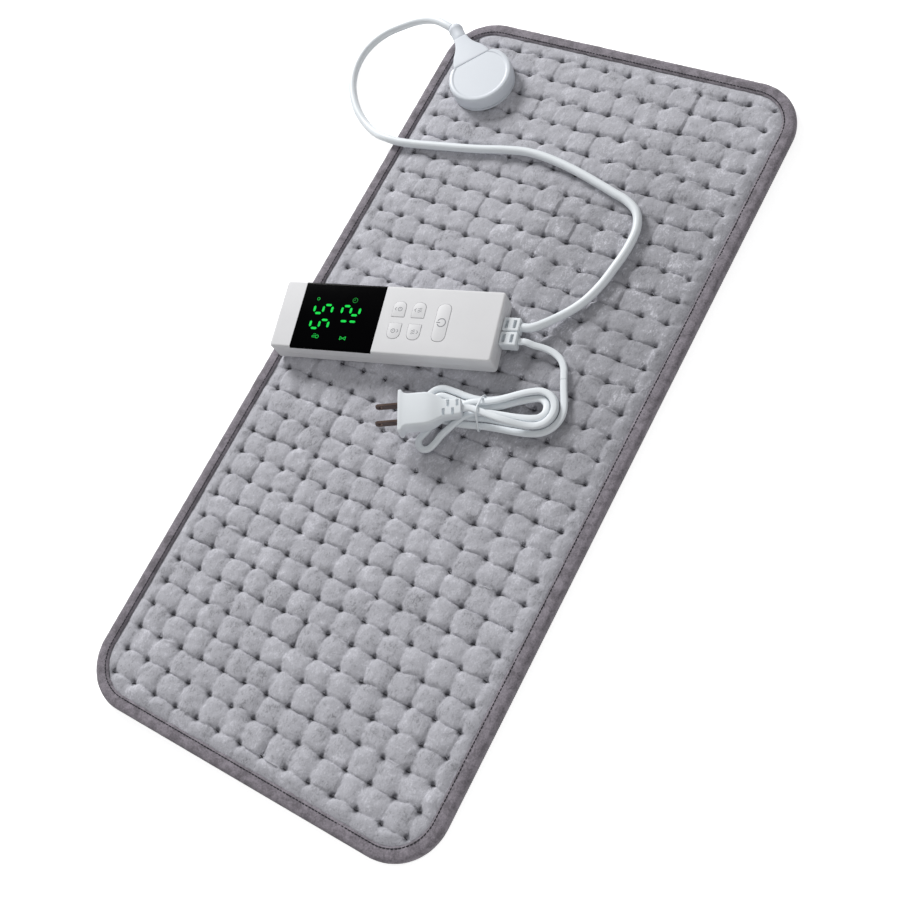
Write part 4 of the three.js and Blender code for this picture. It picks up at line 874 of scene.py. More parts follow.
def puff_height(x, y, sizes, columns, rows):
    """Height of the quilted cover, and the distance from the pad's edge, at each point."""
    across, along = sizes.pitch_across, sizes.pitch_along
    u, v = (x - columns[0]) / across, (y - rows[0]) / along
    tuft_gap = np.hypot((u - np.rint(u)) * across, (v - np.rint(v)) * along)
    loose = 1 - np.exp(-(tuft_gap / TUFT_HOLD) ** 2)
    u = u + wobble(x, y, 3, COLUMN_WANDER) * loose * COLUMN_SWAY / across
    v = v + wobble(x, y, 4, ROW_WANDER) * loose * ROW_SWAY / along
    cell_u, cell_v = np.floor(u).astype(int), np.floor(v).astype(int)
    near_u, near_v = np.rint(u).astype(int), np.rint(v).astype(int)

    # Each crease bows and fades in its own way, and each puff is filled a little differently.
    chance = np.random.default_rng(11)
    size = (len(columns) + 4, len(rows) + 4)
    bow_row = chance.normal(0.3, 0.7, size) * ROW_BOW * np.linspace(0.8, 1.7, size[1])
    bow_column = chance.normal(0, 1, size) * COLUMN_BOW
    plump = 1 + chance.normal(0, PLUMP_SPREAD, size)
    faint = np.clip(chance.normal(FAINT_MIDDLE, FAINT_SPREAD, size), 0, FAINT_MOST)
    swell_u, swell_v = np.sin(np.pi * (u - cell_u)), np.sin(np.pi * (v - cell_v))
    row_gap = (v - near_v) * along - bow_row[cell_u + 2, near_v + 2] * swell_u
    column_gap = (u - near_u) * across - bow_column[near_u + 2, cell_v + 2] * swell_v
    row_share = np.clip(np.abs(row_gap) / (along / 2), 0, 1)
    column_share = np.clip(np.abs(column_gap) / (across / 2), 0, 1)

    # A crease's floor, as a share of the puffs' height: columns fade out towards the top end.
    upper = y / sizes.length + 0.5
    row_low = ROW_FLOOR - ROW_FALL * upper
    row_low = row_low + ROW_FAINTNESS * faint[cell_u + 2, near_v + 2]
    column_low = COLUMN_FLOOR + COLUMN_CLIMB * upper
    column_low = column_low + COLUMN_FAINTNESS * faint[near_u + 2, cell_v + 2]
    column_low = np.minimum(column_low, COLUMN_MOST)
    past_columns = np.clip((np.abs(x) - columns[-1]) / BORDER_FADE, 0, 1)
    past_rows = np.clip((np.abs(y) - rows[-1]) / BORDER_FADE, 0, 1)
    row_low += (BORDER_LOW - row_low) * past_columns
    column_low += (BORDER_LOW - column_low) * past_rows

    # A row's crease is narrow with round shoulders, a column's is one wide curve.
    over_row = sum(share * (1 - (1 - row_share) ** power) for share, power in ROW_CURVES)
    over_column = 1 - (1 - column_share) ** 2
    rise = (row_low + (1 - row_low) * over_row) * (column_low + (1 - column_low) * over_column)
    rise = rise * plump[cell_u + 2, cell_v + 2]
    crumple = sum(depth * wobble(x, y, seed, reach) for depth, seed, reach in CRUMPLES)
    rise += crumple * loose

    # Folds run out from each tuft, which sits in a dimple.
    turn = np.arctan2((v - np.rint(v)) * along, (u - np.rint(u)) * across)
    pucker = np.cos(FOLDS * turn + 2 * math.pi * chance.random(size)[near_u + 2, near_v + 2])
    fading = np.exp(-(tuft_gap / FOLD_REACH) ** 2)
    rise += FOLD_DEPTH * pucker * (tuft_gap / FOLD_RAMP) * fading
    for depth, reach in DIMPLES:
        rise -= depth * np.exp(-(tuft_gap / reach) ** 2)
    rise = np.clip(rise, LEAST_RISE, MOST_RISE)
    edge = edge_distance(x, y, sizes)
    inside = np.clip((edge - sizes.tape_width + UNDER_TAPE) / TAPE_CLIMB, 0, 1)
    return sizes.tuft_level + sizes.crown * rise * inside ** TAPE_CURVE, edge


def quilted_cover():
    """The plush cover, puffed up between its tufts, closed by a flat underside."""
    sizes, _, tones = settings()
    columns = tuft_lines(sizes.width, sizes.pitch_across, sizes.tape_width)
    rows = tuft_lines(sizes.length, sizes.pitch_along, sizes.tape_width)
    hidden = HIDDEN_RIM * MM
    xs = fine_lines(columns, sizes.pitch_across, sizes.width / 2 - hidden, 14)
    ys = fine_lines(rows, sizes.pitch_along, sizes.length / 2 - hidden, 14)
    x, y = np.meshgrid(xs, ys)
    z, edge = puff_height(x, y, sizes, columns, rows)
    used = edge > hidden - 1e-6
    socket = at(CONNECTOR, 0, 0, 0)
    used &= np.hypot(x - socket.x, y - socket.y) > COVER_OPENING * MM
    index = -np.ones(x.shape, dtype=int)
    quad = used[:-1, :-1] & used[1:, :-1] & used[:-1, 1:] & used[1:, 1:]
    keep = np.zeros_like(used)
    for a in (slice(None, -1), slice(1, None)):
        for b in (slice(None, -1), slice(1, None)):
            keep[a, b] |= quad
    index[keep] = np.arange(keep.sum())
    count = int(keep.sum())
    top = np.stack([x[keep], y[keep], z[keep]], axis=1)
    under = top.copy()
    under[:, 2] = sizes.cover_bottom
    j, i = np.nonzero(quad)
    upper = np.stack([index[j, i], index[j, i + 1], index[j + 1, i + 1], index[j + 1, i]], axis=1)
    lower = upper[:, ::-1] + count
    faces = [*map(tuple, upper.tolist()), *map(tuple, lower.tolist()), *rim_faces(upper, count)]
    plush = plush_finish(
        "grey_plush", tones.plush, tones.plush_shade,
        sizes.tuft_level - TUFT_SINK * MM, sizes.tuft_level + sizes.crown,
        (columns[0], rows[0]), (sizes.pitch_across, sizes.pitch_along))
    cover = piece("quilted_plush", np.concatenate([top, under]), faces, plush,
                  slot="plush", stands_for=["quilted_cover"], sharp=75)
    tufts(sizes, tones, columns, rows)


def rim_faces(faces, count):
    """Quads that join the top's open edges to the same edges of the underside."""
    edges = {}
    for face in faces.tolist():
        for a, b in zip(face, face[1:] + face[:1]):
            if (b, a) in edges:
                del edges[(b, a)]
            else:
                edges[(a, b)] = True
    return [(a, a + count, b + count, b) for a, b in edges]


def tufts(sizes, tones, columns, rows):
    """A short bar of thread at the bottom of each tuft."""
    chance = np.random.default_rng(21)
    socket = at(CONNECTOR, 0, 0, 0)
    section = circle(TUFT_THREAD * MM / 2, 6)
    bars = []
    for y in rows:
        for x in columns:
            corner_x = max(abs(x) - sizes.width / 2 + sizes.corner, 0)
            corner_y = max(abs(y) - sizes.length / 2 + sizes.corner, 0)
            if math.hypot(corner_x, corner_y) > sizes.corner - sizes.tape_width - 1 * MM:
                continue
            if math.hypot(x - socket.x, y - socket.y) < TUFT_CLEARING * MM:
                continue
            angle = chance.normal(0, BAR_SWING)
            way = Vector((math.cos(angle), math.sin(angle), 0))
            centre = Vector((x, y, sizes.tuft_level - TUFT_SINK * MM))
            line = [centre + way * s * MM + Vector((0, 0, (BAR_CREST - BAR_BEND * s * s) * MM))
                    for s in BAR_STEPS]
            bars.append(sweep(line, section))
    piece("tuft_stitches", *gather(bars),
          thread_finish("tuft_thread", darker(tones.thread, 0.55)), slot="plush", sharp=60)


def tape_section(sizes, lift, pull):
    """(inset, height) round the rolled tape, outside first and then its inside."""
    width = sizes.tape_width + pull
    high = sizes.tape_height + lift
    roll = sizes.tape_round
    wall = TAPE_WALL * MM
    outer = [(width, 0.0), (width * 0.66, 0.0)]
    for start, level in ((270, roll), (180, high - roll)):
        for step in range(7):
            angle = math.radians(start - 90 * step / 6)
            outer.append((roll + roll * math.cos(angle), level + roll * math.sin(angle)))
    crest = high - 0.15 * MM
    outer += [(width * 0.6, crest + 0.12 * MM), (width * 0.82, crest - 0.1 * MM),
              (width * 0.95, crest - 0.7 * MM), (width, crest - 1.3 * MM)]
    inner = [(width - 0.2 * MM, crest - 1.7 * MM), (width * 0.6, high - wall - 0.3 * MM),
             (roll, high - wall - 0.3 * MM), (wall, high - roll), (wall, roll),
             (roll, wall), (width - 0.1 * MM, wall)]
    return outer + inner


def edge_line(sizes, inset, spacing):
    """Evenly spaced points round the pad's edge at an inset, with outward normals."""
    outline = [Vector((x, y, 0)) for x, y in pad_outline(sizes, inset, 24)]
    closed = even([*outline, outline[0]], spacing)[:-1]
    normals = []
    for i in range(len(closed)):
        way = closed[(i + 1) % len(closed)] - closed[i - 1]
        normals.append(Vector((way.y, -way.x, 0)).normalized())
    return closed, normals


def edge_binding():
    """The tape rolled round the pad's edge, a little uneven, with its joins."""
    sizes, _, tones = settings()
    line, normals = edge_line(sizes, 0, 2.0 * MM)
    count = len(line)
    share = np.arange(count) / count
    chance = np.random.default_rng(31)
    waves = [(chance.integers(60, 260), chance.uniform(0, 2 * math.pi)) for _ in range(8)]
    ripple = sum(np.sin(2 * math.pi * share * pace + phase) for pace, phase in waves) / 4
    slow = np.sin(2 * math.pi * share * 9 + 1.0) * 0.5 + np.sin(2 * math.pi * share * 17) * 0.4
    rings = []
    for i, (point, normal) in enumerate(zip(line, normals)):
        lift = 0.16 * MM * ripple[i]
        pull = (0.28 * ripple[i - 3] + 0.3 * slow[i]) * MM
        for join in TAPE_JOINS:
            gap = (share[i] - join) * count
            if 0 <= gap < TAPE_JOIN_STEPS:
                lift += 0.5 * MM * (1 - gap / TAPE_JOIN_STEPS)
        section = tape_section(sizes, lift, pull)
        rings.append([tuple(point - normal * inset + Vector((0, 0, z))) for inset, z in section])
    piece("binding_tape", *closed_loft(rings), tape_finish("binding", tones.tape),
          slot="tape", stands_for=["edge_binding"], sharp=60)
    seam(sizes, tones)


def seam(sizes, tones):
    """The lockstitch that runs along the tape's inner edge, above and below."""
    line, _ = edge_line(sizes, sizes.tape_width - SEAM_INSET * MM, sizes.stitch)
    section = circle(SEAM_THREAD * MM / 2, 6)
    above = (sizes.tape_height - 0.3 * MM, (-0.35, 0.12, 0.12, -0.35))
    below = (0.12 * MM, (0.18, 0.18, 0.18, 0.18))
    stitches = []
    for level, rises in (above, below):
        for i, point in enumerate(line):
            after = line[(i + 1) % len(line)]
            a, b = point.lerp(after, 0.12), point.lerp(after, 0.88)
            points = [p + Vector((0, 0, level + rise * MM))
                      for p, rise in zip((a, a.lerp(b, 0.2), a.lerp(b, 0.8), b), rises)]
            stitches.append(sweep(points, section))
    piece("binding_seam", *gather(stitches),
          thread_finish("seam_thread", darker(tones.thread, 0.7)), slot="tape", sharp=60)


def inner_layers():
    """Back cloth, carrier and wadding, each cut to the shape that the CAD gives it."""
    sizes, _, tones = settings()
    socket = at(CONNECTOR, 0, 0, 0)

    def layer(inset, low, high):
        return slab(pad_outline(sizes, inset), low * MM, high * MM)

    tape_edge = sizes.tape_width + FIT * MM
    rise = layer(tape_edge, *BACK_RISE)
    lip = layer(SHEET_INSET * MM, *BACK_LIP)
    hollow = layer(tape_edge + BACK_WALL * MM, *BACK_HOLLOW)
    mesh = carve(*layer(tape_edge, *BACK_LEVELS), [hollow], [rise, lip])
    cloth = dress("back_cloth", mesh, woven_finish("back_weave", tones.back, 0.9 * MM),
                  PAD_BODY, ["back_cover"], 40)
    felt = felt_finish("bonded_fibre", linear((233, 231, 225)))
    carrier = piece("carrier_felt", *layer(tape_edge + CARRIER_MARGIN * MM, *CARRIER_LEVELS),
                    felt, slot="felt", stands_for=["heater_carrier"])
    pockets = [block(POCKET_WIDTH, POCKET_LENGTH, 0.5, 2, 0, 6, way * WIRE_PITCH,
                     way * -CUT_OUT_AT) for way in (-1, 1)]
    clearing = slab(circle(SOCKET_BASE_RADIUS * MM, 40, socket.x, socket.y), 3 * MM, 6 * MM)
    mesh = carve(*layer(SHEET_INSET * MM, *WADDING_LEVELS), [clearing, *pockets])
    wadding = dress("wadding_felt", mesh, felt, PAD_BODY, ["wadding"], 40)


def give(material, *nodes):
    """Gives CAD nodes that stay in view a finish."""
    for name in nodes:
        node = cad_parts[name]
        if not node.material_slots:
            node.data.materials.append(material)
        for slot in node.material_slots:
            slot.material = material


def inside_parts():
    """Finishes of the CAD's own pieces inside the pad and the controller."""
    names = list(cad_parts)
    brass = brushed_finish("drawn_brass", linear((196, 152, 92)), 0.28)
    steel = brushed_finish("plated_steel", linear((186, 188, 192)), 0.3)
    give(moulded_finish("silicone_sheath", linear((184, 72, 60)), 0.6),
         "heating_wire", "capacitor")
    give(moulded_finish("black_plastic", linear((32, 34, 37)), 0.5),
         "led_display", "triac", "thermal_cut_out_1", "thermal_cut_out_2",
         *[name for name in names if name.endswith("_key_switch")])
    give(board_finish("board", linear((42, 107, 69))), "circuit_board")
    give(brass, *[name for name in names if name.startswith(("socket_pin", "plug_contact"))])
    give(steel, "fuse", *[name for name in names if name.endswith("_plunger")
                          or name.startswith(("shell_screw", "socket_screw"))])


# Pieces of the controller, with their sizes in millimetres

SHELL_CORNER = 2.6
SHELL_ROUND = 1.8
SHELL_WALL = 2
SHELL_CEILING = 2.4
SCREW_PLACES = [(end * 79, side * 20) for end in (-1, 1) for side in (-1, 1)]
BOSS_RADIUS = 3.2
BORE_RADIUS = 1.5
WELL_RADIUS, WELL_DEPTH = 2.6, 2.2
SCREW_DEPTH = 4.3
RIB_LENGTH, RIB_WIDTH, RIB_HEIGHT, RIB_OFFSET = 120, 1.6, 6.9, 13.5
PASSAGE_LENGTH, PASSAGE_WIDTH, PASSAGE_HALF = 8, 7.2, 3.3
NECK_LENGTH, NECK_WIDTH, NECK_HALF, NECK_BACK = 4.4, 6.4, 2.9, 1.4
GLAND_SLOT_LENGTH, GLAND_SLOT_WIDTH, GLAND_SLOT_DEPTH = 2.4, 6.4, 3.6
GLAND_SLOT_PLACES = (3, 8.8)
GLAND_WIDTH = 10.4
GLAND_HEIGHT = 9
WINDOW_LOW = -CONTROLLER_LENGTH / 2 + 16.6
WINDOW_LENGTH = 65.02
WINDOW_MIDDLE = WINDOW_LOW + WINDOW_LENGTH / 2
WINDOW_DEPTH = 1.7
WINDOW_HOLE = (52.6, 34.6)
PANE_DEPTH = 1.4
KEY_ROWS = (95.3, 110.5, 129.6)
KEY_HALF = 5.2
POWER_HALF = 5.4
KEY_PROUD = 0.3
KEY_GAP = 0.24
CAP_LOW = SHELL_TOP - 3.2
FLANGE_LOW, FLANGE_HIGH, FLANGE_GROWTH = SHELL_TOP - 3.8, SHELL_TOP - 2.75, 1
STEM_LOW, STEM_HIGH, STEM_RADIUS = SHELL_TOP - 4.4, SHELL_TOP - 3, 1.8
PRINT_LOW, PRINT_HIGH = -0.02, 0.04
LIT_LOW, LIT_HIGH = -0.02, 0.05
FIGURE_HEIGHT = 14.1
SEGMENT_GAP = 1.05


def shell_outline(inset):
    """The controller's plan at an inset in metres."""
    return rounded(CONTROLLER_LENGTH * MM - 2 * inset, CONTROLLER_WIDTH * MM - 2 * inset,
                   max(SHELL_CORNER * MM - inset, 0.8 * MM), 6)


def key_panels():
    """Each key's name, edges and corner radii, in the controller's own millimetres."""
    left = -CONTROLLER_LENGTH / 2
    keys = []
    for name, row in (("timer", KEY_ROWS[0]), ("heat", KEY_ROWS[1])):
        edges = (left + row - KEY_HALF, left + row + KEY_HALF)
        keys.append((f"{name}_down_key", *edges, -15, -2.3, (4.6, 4.6, 0.8, 0.8)))
        keys.append((f"{name}_up_key", *edges, 2.3, 15, (0.8, 0.8, 4.6, 4.6)))
    row = left + KEY_ROWS[2]
    keys.append(("power_key", row - POWER_HALF, row + POWER_HALF, -15, 15, (4.6,) * 4))
    return keys


def key_outline(key, growth=0.0):
    """A key's plan, larger by the growth in millimetres."""
    _, left, right, low, high, corners = key
    scaled = [max(c + growth, 0.3) * MM for c in corners]
    return panel((left - growth) * MM, (right + growth) * MM, (low - growth) * MM,
                 (high + growth) * MM, scaled, 5)


def shell_solid(low=SHELL_BOTTOM, high=SHELL_TOP):
    """The controller's rounded outside between two heights."""
    edge = SHELL_ROUND * MM
    rings = [(z, inset) for z, inset in rolled_edges(SHELL_BOTTOM * MM, SHELL_TOP * MM, edge, 7)
             if low * MM < z < high * MM]
    rings.insert(0, (low * MM, 0.0 if low > SHELL_BOTTOM else edge))
    rings.append((high * MM, 0.0 if high < SHELL_TOP else edge))
    return loft([[(x, y, z) for x, y in shell_outline(inset)] for z, inset in rings])


def controller_shells():
    """Both shells of the controller and its strain reliefs."""
    _, _, tones = settings()
    white = moulded_finish("white_shell", tones.shell, 0.56)
    passages = [block(PASSAGE_LENGTH, PASSAGE_WIDTH, 0.5, 2, GLAND_LEVEL - PASSAGE_HALF,
                      GLAND_LEVEL + PASSAGE_HALF, CONTROLLER_LENGTH / 2, way * GLAND_OFFSET)
                for way in (-1, 1)]
    for name, mesh in (("upper_shell", upper_shell(passages)),
                       ("lower_shell", lower_shell(passages))):
        dress(f"{name}_moulding", placed(mesh, CONTROLLER), white, PAD_BODY,
              [name], 32)
    glands(tones)


def posts(radius, low, high):
    """Round solids at the four screws."""
    return [post(radius, low, high, x, y) for x, y in SCREW_PLACES]


def upper_shell(passages):
    """The upper shell's hollow, window, key openings and screw bosses."""
    low = PARTING + FIT
    ceiling = SHELL_TOP - SHELL_CEILING
    hollow = slab(shell_outline(SHELL_WALL * MM), (low - 1) * MM, ceiling * MM)
    recess = block(WINDOW_LENGTH, 60, 0.1, 1, SHELL_TOP - WINDOW_DEPTH, SHELL_TOP + 1,
                   WINDOW_MIDDLE)
    hole = block(*WINDOW_HOLE, 0.5, 2, ceiling - 1, SHELL_TOP, WINDOW_MIDDLE)
    openings = [slab(key_outline(key), (ceiling - 1) * MM, (SHELL_TOP + 1) * MM)
                for key in key_panels()]
    case = carve(*shell_solid(low), [hollow, recess, hole, *openings, *passages])
    return carve(*solid_of(case), posts(BORE_RADIUS, low - 1, low + SCREW_DEPTH),
                 posts(BOSS_RADIUS, low, ceiling + 0.6))


def lower_shell(passages):
    """The lower shell's hollow, screw bosses and wells, and the ribs that bear the board."""
    high = PARTING + 0.05
    level = SHELL_BOTTOM + 1
    hollow = slab(shell_outline(SHELL_WALL * MM), (SHELL_BOTTOM + 2) * MM, (high + 1) * MM)
    case = carve(*shell_solid(high=high), [hollow, *passages])
    ribs = [block(RIB_LENGTH, RIB_WIDTH, 0.2, 1, level, SHELL_BOTTOM + RIB_HEIGHT, 0,
                  way * RIB_OFFSET) for way in (-1, 1)]
    bores = posts(BORE_RADIUS, level - 3, high + 1)
    wells = posts(WELL_RADIUS, level - 3, SHELL_BOTTOM + WELL_DEPTH)
    return carve(*solid_of(case), [*bores, *wells], [*posts(BOSS_RADIUS, level, high), *ribs])


def glands(tones):
    """Two moulded strain reliefs side by side, each with slots above and below."""
    material = moulded_finish("gland_plastic", darker(tones.cord, 0.96), 0.42)
    half = GLAND_HEIGHT / 2
    for name, way in (("pad_lead_gland", 1), ("mains_gland", -1)):
        y = way * GLAND_OFFSET

        def outline(inset, y=y):
            return rounded(GLAND_LENGTH * MM - 2 * inset, GLAND_WIDTH * MM - 2 * inset,
                           max(1.2 * MM - inset, 0.2 * MM), 4,
                           (GLAND_START + GLAND_LENGTH / 2) * MM, y * MM)

        body = pillow(outline, (GLAND_LEVEL - half) * MM, (GLAND_LEVEL + half) * MM, 0.9 * MM)
        neck = block(NECK_LENGTH, NECK_WIDTH, 0.6, 3, GLAND_LEVEL - NECK_HALF,
                     GLAND_LEVEL + NECK_HALF, GLAND_START - NECK_BACK, y)
        slots = [block(GLAND_SLOT_LENGTH, GLAND_SLOT_WIDTH, 0.5, 3, level - GLAND_SLOT_DEPTH,
                       level + GLAND_SLOT_DEPTH, GLAND_START + x, y)
                 for x in GLAND_SLOT_PLACES for level in (GLAND_LEVEL - half, GLAND_LEVEL + half)]
        mesh = carve(*body, slots, [neck])
        dress(f"{name}_moulding", placed(mesh, CONTROLLER), material, PAD_BODY,
              [name], 35)


def display():
    """The window's pane, rolled at its sides as the shell is, with its lit signs."""
    _, _, tones = settings()
    level = SHELL_TOP - PANE_DEPTH
    below = block(200, 70, 0.1, 1, 0, level)
    ends = [block(200, 60, 0.1, 1, 0, SHELL_TOP + 1, x)
            for x in (WINDOW_LOW + FIT - 100, WINDOW_LOW + WINDOW_LENGTH - FIT + 100)]
    mesh = carve(*shell_solid(), [below, *ends])
    dress("display_pane", placed(mesh, CONTROLLER), glass_finish("smoked_glass", tones.glass),
          PAD_BODY, ["display_window"], 32)
    lit_segments(tones)


SEGMENTS = {
    "a": ((0, 2), (1, 2)), "b": ((1, 2), (1, 1)), "c": ((1, 1), (1, 0)), "d": ((0, 0), (1, 0)),
    "e": ((0, 1), (0, 0)), "f": ((0, 2), (0, 1)), "g": ((0, 1), (1, 1)),
}
DIGITS = {"5": "afgcd", "1": "bc", "2": "abged"}


def stroke(a, b, width, low, high, taper=0.0):
    """A flat bar from a to b, with pointed ends when a taper is given."""
    a, b = Vector(a), Vector(b)
    way = (b - a).normalized()
    side = Vector((-way.y, way.x)) * (width / 2)
    if taper:
        tip = way * taper
        outline = [a, a + tip - side, b - tip - side, b, b - tip + side, a + tip + side]
    else:
        outline = [a - side, b - side, b + side, a + side]
    return slab([(p.x, p.y) for p in outline], low, high)


def read_way(parts, x, y):
    """Turns flat marks drawn upright so that they read along the controller's width."""
    vertices, faces = gather(parts)
    return [(x * MM - b, y * MM + a, c) for a, b, c in vertices], faces


def digit(character, width, height, thick, low, high):
    """The lit bars of one figure, each a little short of the next."""
    parts = []
    for name in DIGITS[character]:
        a, b = [Vector((u * width * MM, v * height / 2 * MM)) for u, v in SEGMENTS[name]]
        way = (b - a).normalized() * SEGMENT_GAP * MM
        parts.append(stroke(a + way, b - way, thick * MM, low, high, thick / 2 * MM))
    return parts


def ring_mark(radius, width, low, high, x=0.0, y=0.0, start=0, end=360):
    """A ring, or part of one, of short bars."""
    points = [((x + radius * math.cos(math.radians(a))) * MM,
               (y + radius * math.sin(math.radians(a))) * MM) for a in np.linspace(start, end, 24)]
    return [stroke(a, b, width * MM, low, high) for a, b in zip(points, points[1:])]


def lines_mark(lines, width, low, high):
    """Bars between points, each a hair lower than the last so that no two tops share a level."""
    parts = []
    for count, (a, b) in enumerate(lines):
        a, b = [(x * MM, y * MM) for x, y in (a, b)]
        parts.append(stroke(a, b, width * MM, low, high - count * 0.003 * MM))
    return parts


def lit_segments(tones):
    """Two lit figures in each of two rows, and small signs above and below them."""
    low, high = (SHELL_TOP + LIT_LOW) * MM, (SHELL_TOP + LIT_HIGH) * MM
    figures = []
    for text, row in (("55", 11.9), ("12", 34.1)):
        for character, y in zip(text, (-10.6, 1.6)):
            bars = digit(character, 7.0, FIGURE_HEIGHT, 1.8, low, high)
            figures.append(read_way(bars, WINDOW_LOW + row + FIGURE_HEIGHT, y))
    hands = lines_mark([((0, 0), (0, 1.3)), ((0, 0), (0.9, 0))], 0.45, low, high)
    clock = ring_mark(1.9, 0.5, low, high) + hands
    degree = ring_mark(1.0, 0.5, low, high, 0, 0.6)
    bulb = ring_mark(1.2, 0.6, low, high, 0, -1.4)
    bulb += lines_mark(
        [((-0.6, -0.4), (-0.6, 2.6)), ((0.6, -0.4), (0.6, 2.6)), ((-0.6, 2.6), (0.6, 2.6)),
         ((1.5, 0.4), (2.4, 0.4)), ((1.5, 1.5), (2.4, 1.5))], 0.5, low, high)
    glass = lines_mark(
        [((-1.5, 2.2), (1.5, 2.2)), ((-1.5, -2.2), (1.5, -2.2)), ((-1.3, 2.2), (1.3, -2.2)),
         ((1.3, 2.2), (-1.3, -2.2))], 0.55, low, high)
    signs = [read_way(sign, WINDOW_LOW + x, y) for sign, x, y in (
        (degree, 13.4, 13.2), (bulb, 18.6, -17.2), (glass, 40.6, -17.2))]
    time_sign = [read_way(clock, WINDOW_LOW + 42.4, 13.6)]
    for name, lit, tone in (("lit_segments", figures, tones.lamp),
                            ("display_signs", signs, darker(tones.lamp, 0.6)),
                            ("display_clock", time_sign, darker(tones.lamp, 0.28))):
        vertices, faces = gather(lit)
        piece(name, moved(vertices, CONTROLLER), faces, lamp_finish(f"green_{name}", tone, 1.0),
              slot="window_plastic")


def keys():
    """The five keys' caps, each with the sign printed on it."""
    _, _, tones = settings()
    white = moulded_finish("white_keys", tones.shell, 0.45)
    grey = moulded_finish("key_print", tones.print_grey, 0.6)
    top = SHELL_TOP + KEY_PROUD
    for key in key_panels():
        name, left, right, low, high, _ = key
        centre = ((left + right) / 2, (low + high) / 2)

        def outline(inset, key=key):
            return key_outline(key, -KEY_GAP - inset / MM)

        cap = pillow(outline, CAP_LOW * MM, top * MM, 0.3 * MM, 4, 0.2 * MM)
        flange = slab(key_outline(key, FLANGE_GROWTH), FLANGE_LOW * MM, FLANGE_HIGH * MM)
        stem = post(STEM_RADIUS, STEM_LOW, STEM_HIGH, *centre, sides=16)
        mesh = carve(*cap, [], [flange, stem])
        dress(f"{name}_cap", placed(mesh, CONTROLLER), white, name, [name], 35)
        vertices, faces = read_way(key_sign(name, top), *centre)
        piece(f"{name}_print", moved(vertices, CONTROLLER), faces, grey, name, "shell_plastic")


def key_sign(name, top):
    """A small plain sign: a power sign, or an arrow head with a clock or three warm waves."""
    low, high = (top + PRINT_LOW) * MM, (top + PRINT_HIGH) * MM
    if name == "power_key":
        return (ring_mark(3.1, 0.7, low, high, 0, 0, 115, 425)
                + lines_mark([((0, 1.0), (0, 3.7))], 0.7, low, high))
    tip = 1 if "_up_" in name else -1
    middle = -tip * 0.6
    point, left, right = (0, tip * 3.4), (-1.2, tip * 2.2), (1.2, tip * 2.2)
    sign = lines_mark([(left, point), (point, right)], 0.45, low, high)
    if name.startswith("timer"):
        sign += ring_mark(1.5, 0.45, low, high, 0, middle)
        hands = [((0, middle), (0, middle + 0.5)), ((0, middle), (0.7, middle))]
        return sign + lines_mark(hands, 0.35, low, high)
    for x in (-1.3, 0, 1.3):
        wave = [(x + 0.35 * math.sin(k * math.pi / 3), middle - 1.5 + k * 0.5) for k in range(7)]
        sign += lines_mark(list(zip(wave, wave[1:])), 0.4, low, high)
    return sign


# Pieces of the connector, with their sizes in millimetres

SOCKET_RADIUS = 25
SOCKET_SHELL = 2.4
SOCKET_MOUTH = 16.5
RIM_DIP = 0.42
NOSE_WIDTH, NOSE_HEIGHT = 22, 5.8
PIN_PLACES = (-6.4, 0, 6.4)
PLUG_HALF_WIDTHS = [(16.9, 15.2), (20, 14.9), (24, 13.7), (28, 11.6), (32, 8.9), (36, 6.9),
                    (40, 5.8), (43.4, 5.6)]
RELIEF_PROFILE = [(0.05, -3.6), (2.5, -3.6), (2.5, 0), (4.9, 0), (5.1, 0.3), (5.15, 3.1),
                  (5.2, 4.3), (5.25, 5.2)]


def mouth_cutter(radius, mouth, corner):
    """Plan of what is cut from the disc at its mouth, leaving the corners rounded."""
    centre_x, reach = mouth - corner, radius - corner
    centre_y = math.sqrt(reach ** 2 - centre_x ** 2)
    turn = math.atan2(centre_y, centre_x)
    side = [(centre_x + corner * math.cos(turn * i / 8), centre_y + corner * math.sin(turn * i / 8))
            for i in range(9)]
    side += [(radius * math.cos(turn) + 4, radius * math.sin(turn) + 5), (2 * radius, 1.5 * radius)]
    points = [(x, -y) for x, y in side[::-1]] + side
    return [(x * MM, y * MM) for x, y in points]


def socket():
    """The socket's dome, open at its mouth for the plug."""
    _, _, tones = settings()
    material = moulded_finish("connector_shell", tones.connector, 0.34)
    low = SOCKET_FLOOR + 1.8 + FIT
    shoulder = SOCKET_TOP - SOCKET_SHELL
    profile = [(SOCKET_RADIUS - 0.25, low), (SOCKET_RADIUS, low + 0.35), (SOCKET_RADIUS, shoulder)]
    for step in range(1, 9):
        angle = math.pi / 2 * step / 8
        profile.append(
            (SOCKET_RADIUS - 2.0 * (1 - math.cos(angle)), shoulder + 2.3 * math.sin(angle)))
    profile += [(22.3, SOCKET_TOP - 0.04), (21.8, SOCKET_TOP - 0.02), (21.4, SOCKET_TOP - 0.12),
                (21.1, SOCKET_TOP - 0.36)]
    profile += [(radius, SOCKET_TOP - RIM_DIP) for radius in (20.8, 20.4, 19.8, 18, 9, 0.05)]
    mouth = slab(mouth_cutter(SOCKET_RADIUS, SOCKET_MOUTH, 2.5),
                 (low - 1) * MM, (SOCKET_TOP + 1) * MM)
    inside = [(min(x, (SOCKET_MOUTH - 2) * MM), y)
              for x, y in circle((SOCKET_RADIUS - 2) * MM, 90)]
    hollow = slab(inside, (low - 1) * MM, shoulder * MM)
    slot = block(12, NOSE_WIDTH + 2 * FIT, 0.8, 3, PIN_LEVEL - 3.2, PIN_LEVEL + 3.2, SOCKET_MOUTH)
    mesh = carve(*turn_profile(profile, 120), [mouth, hollow, slot])
    dress("socket_dome", placed(mesh, CONNECTOR), material, PAD_BODY,
          ["socket_cover"], 28)
    give(material, "socket_base")


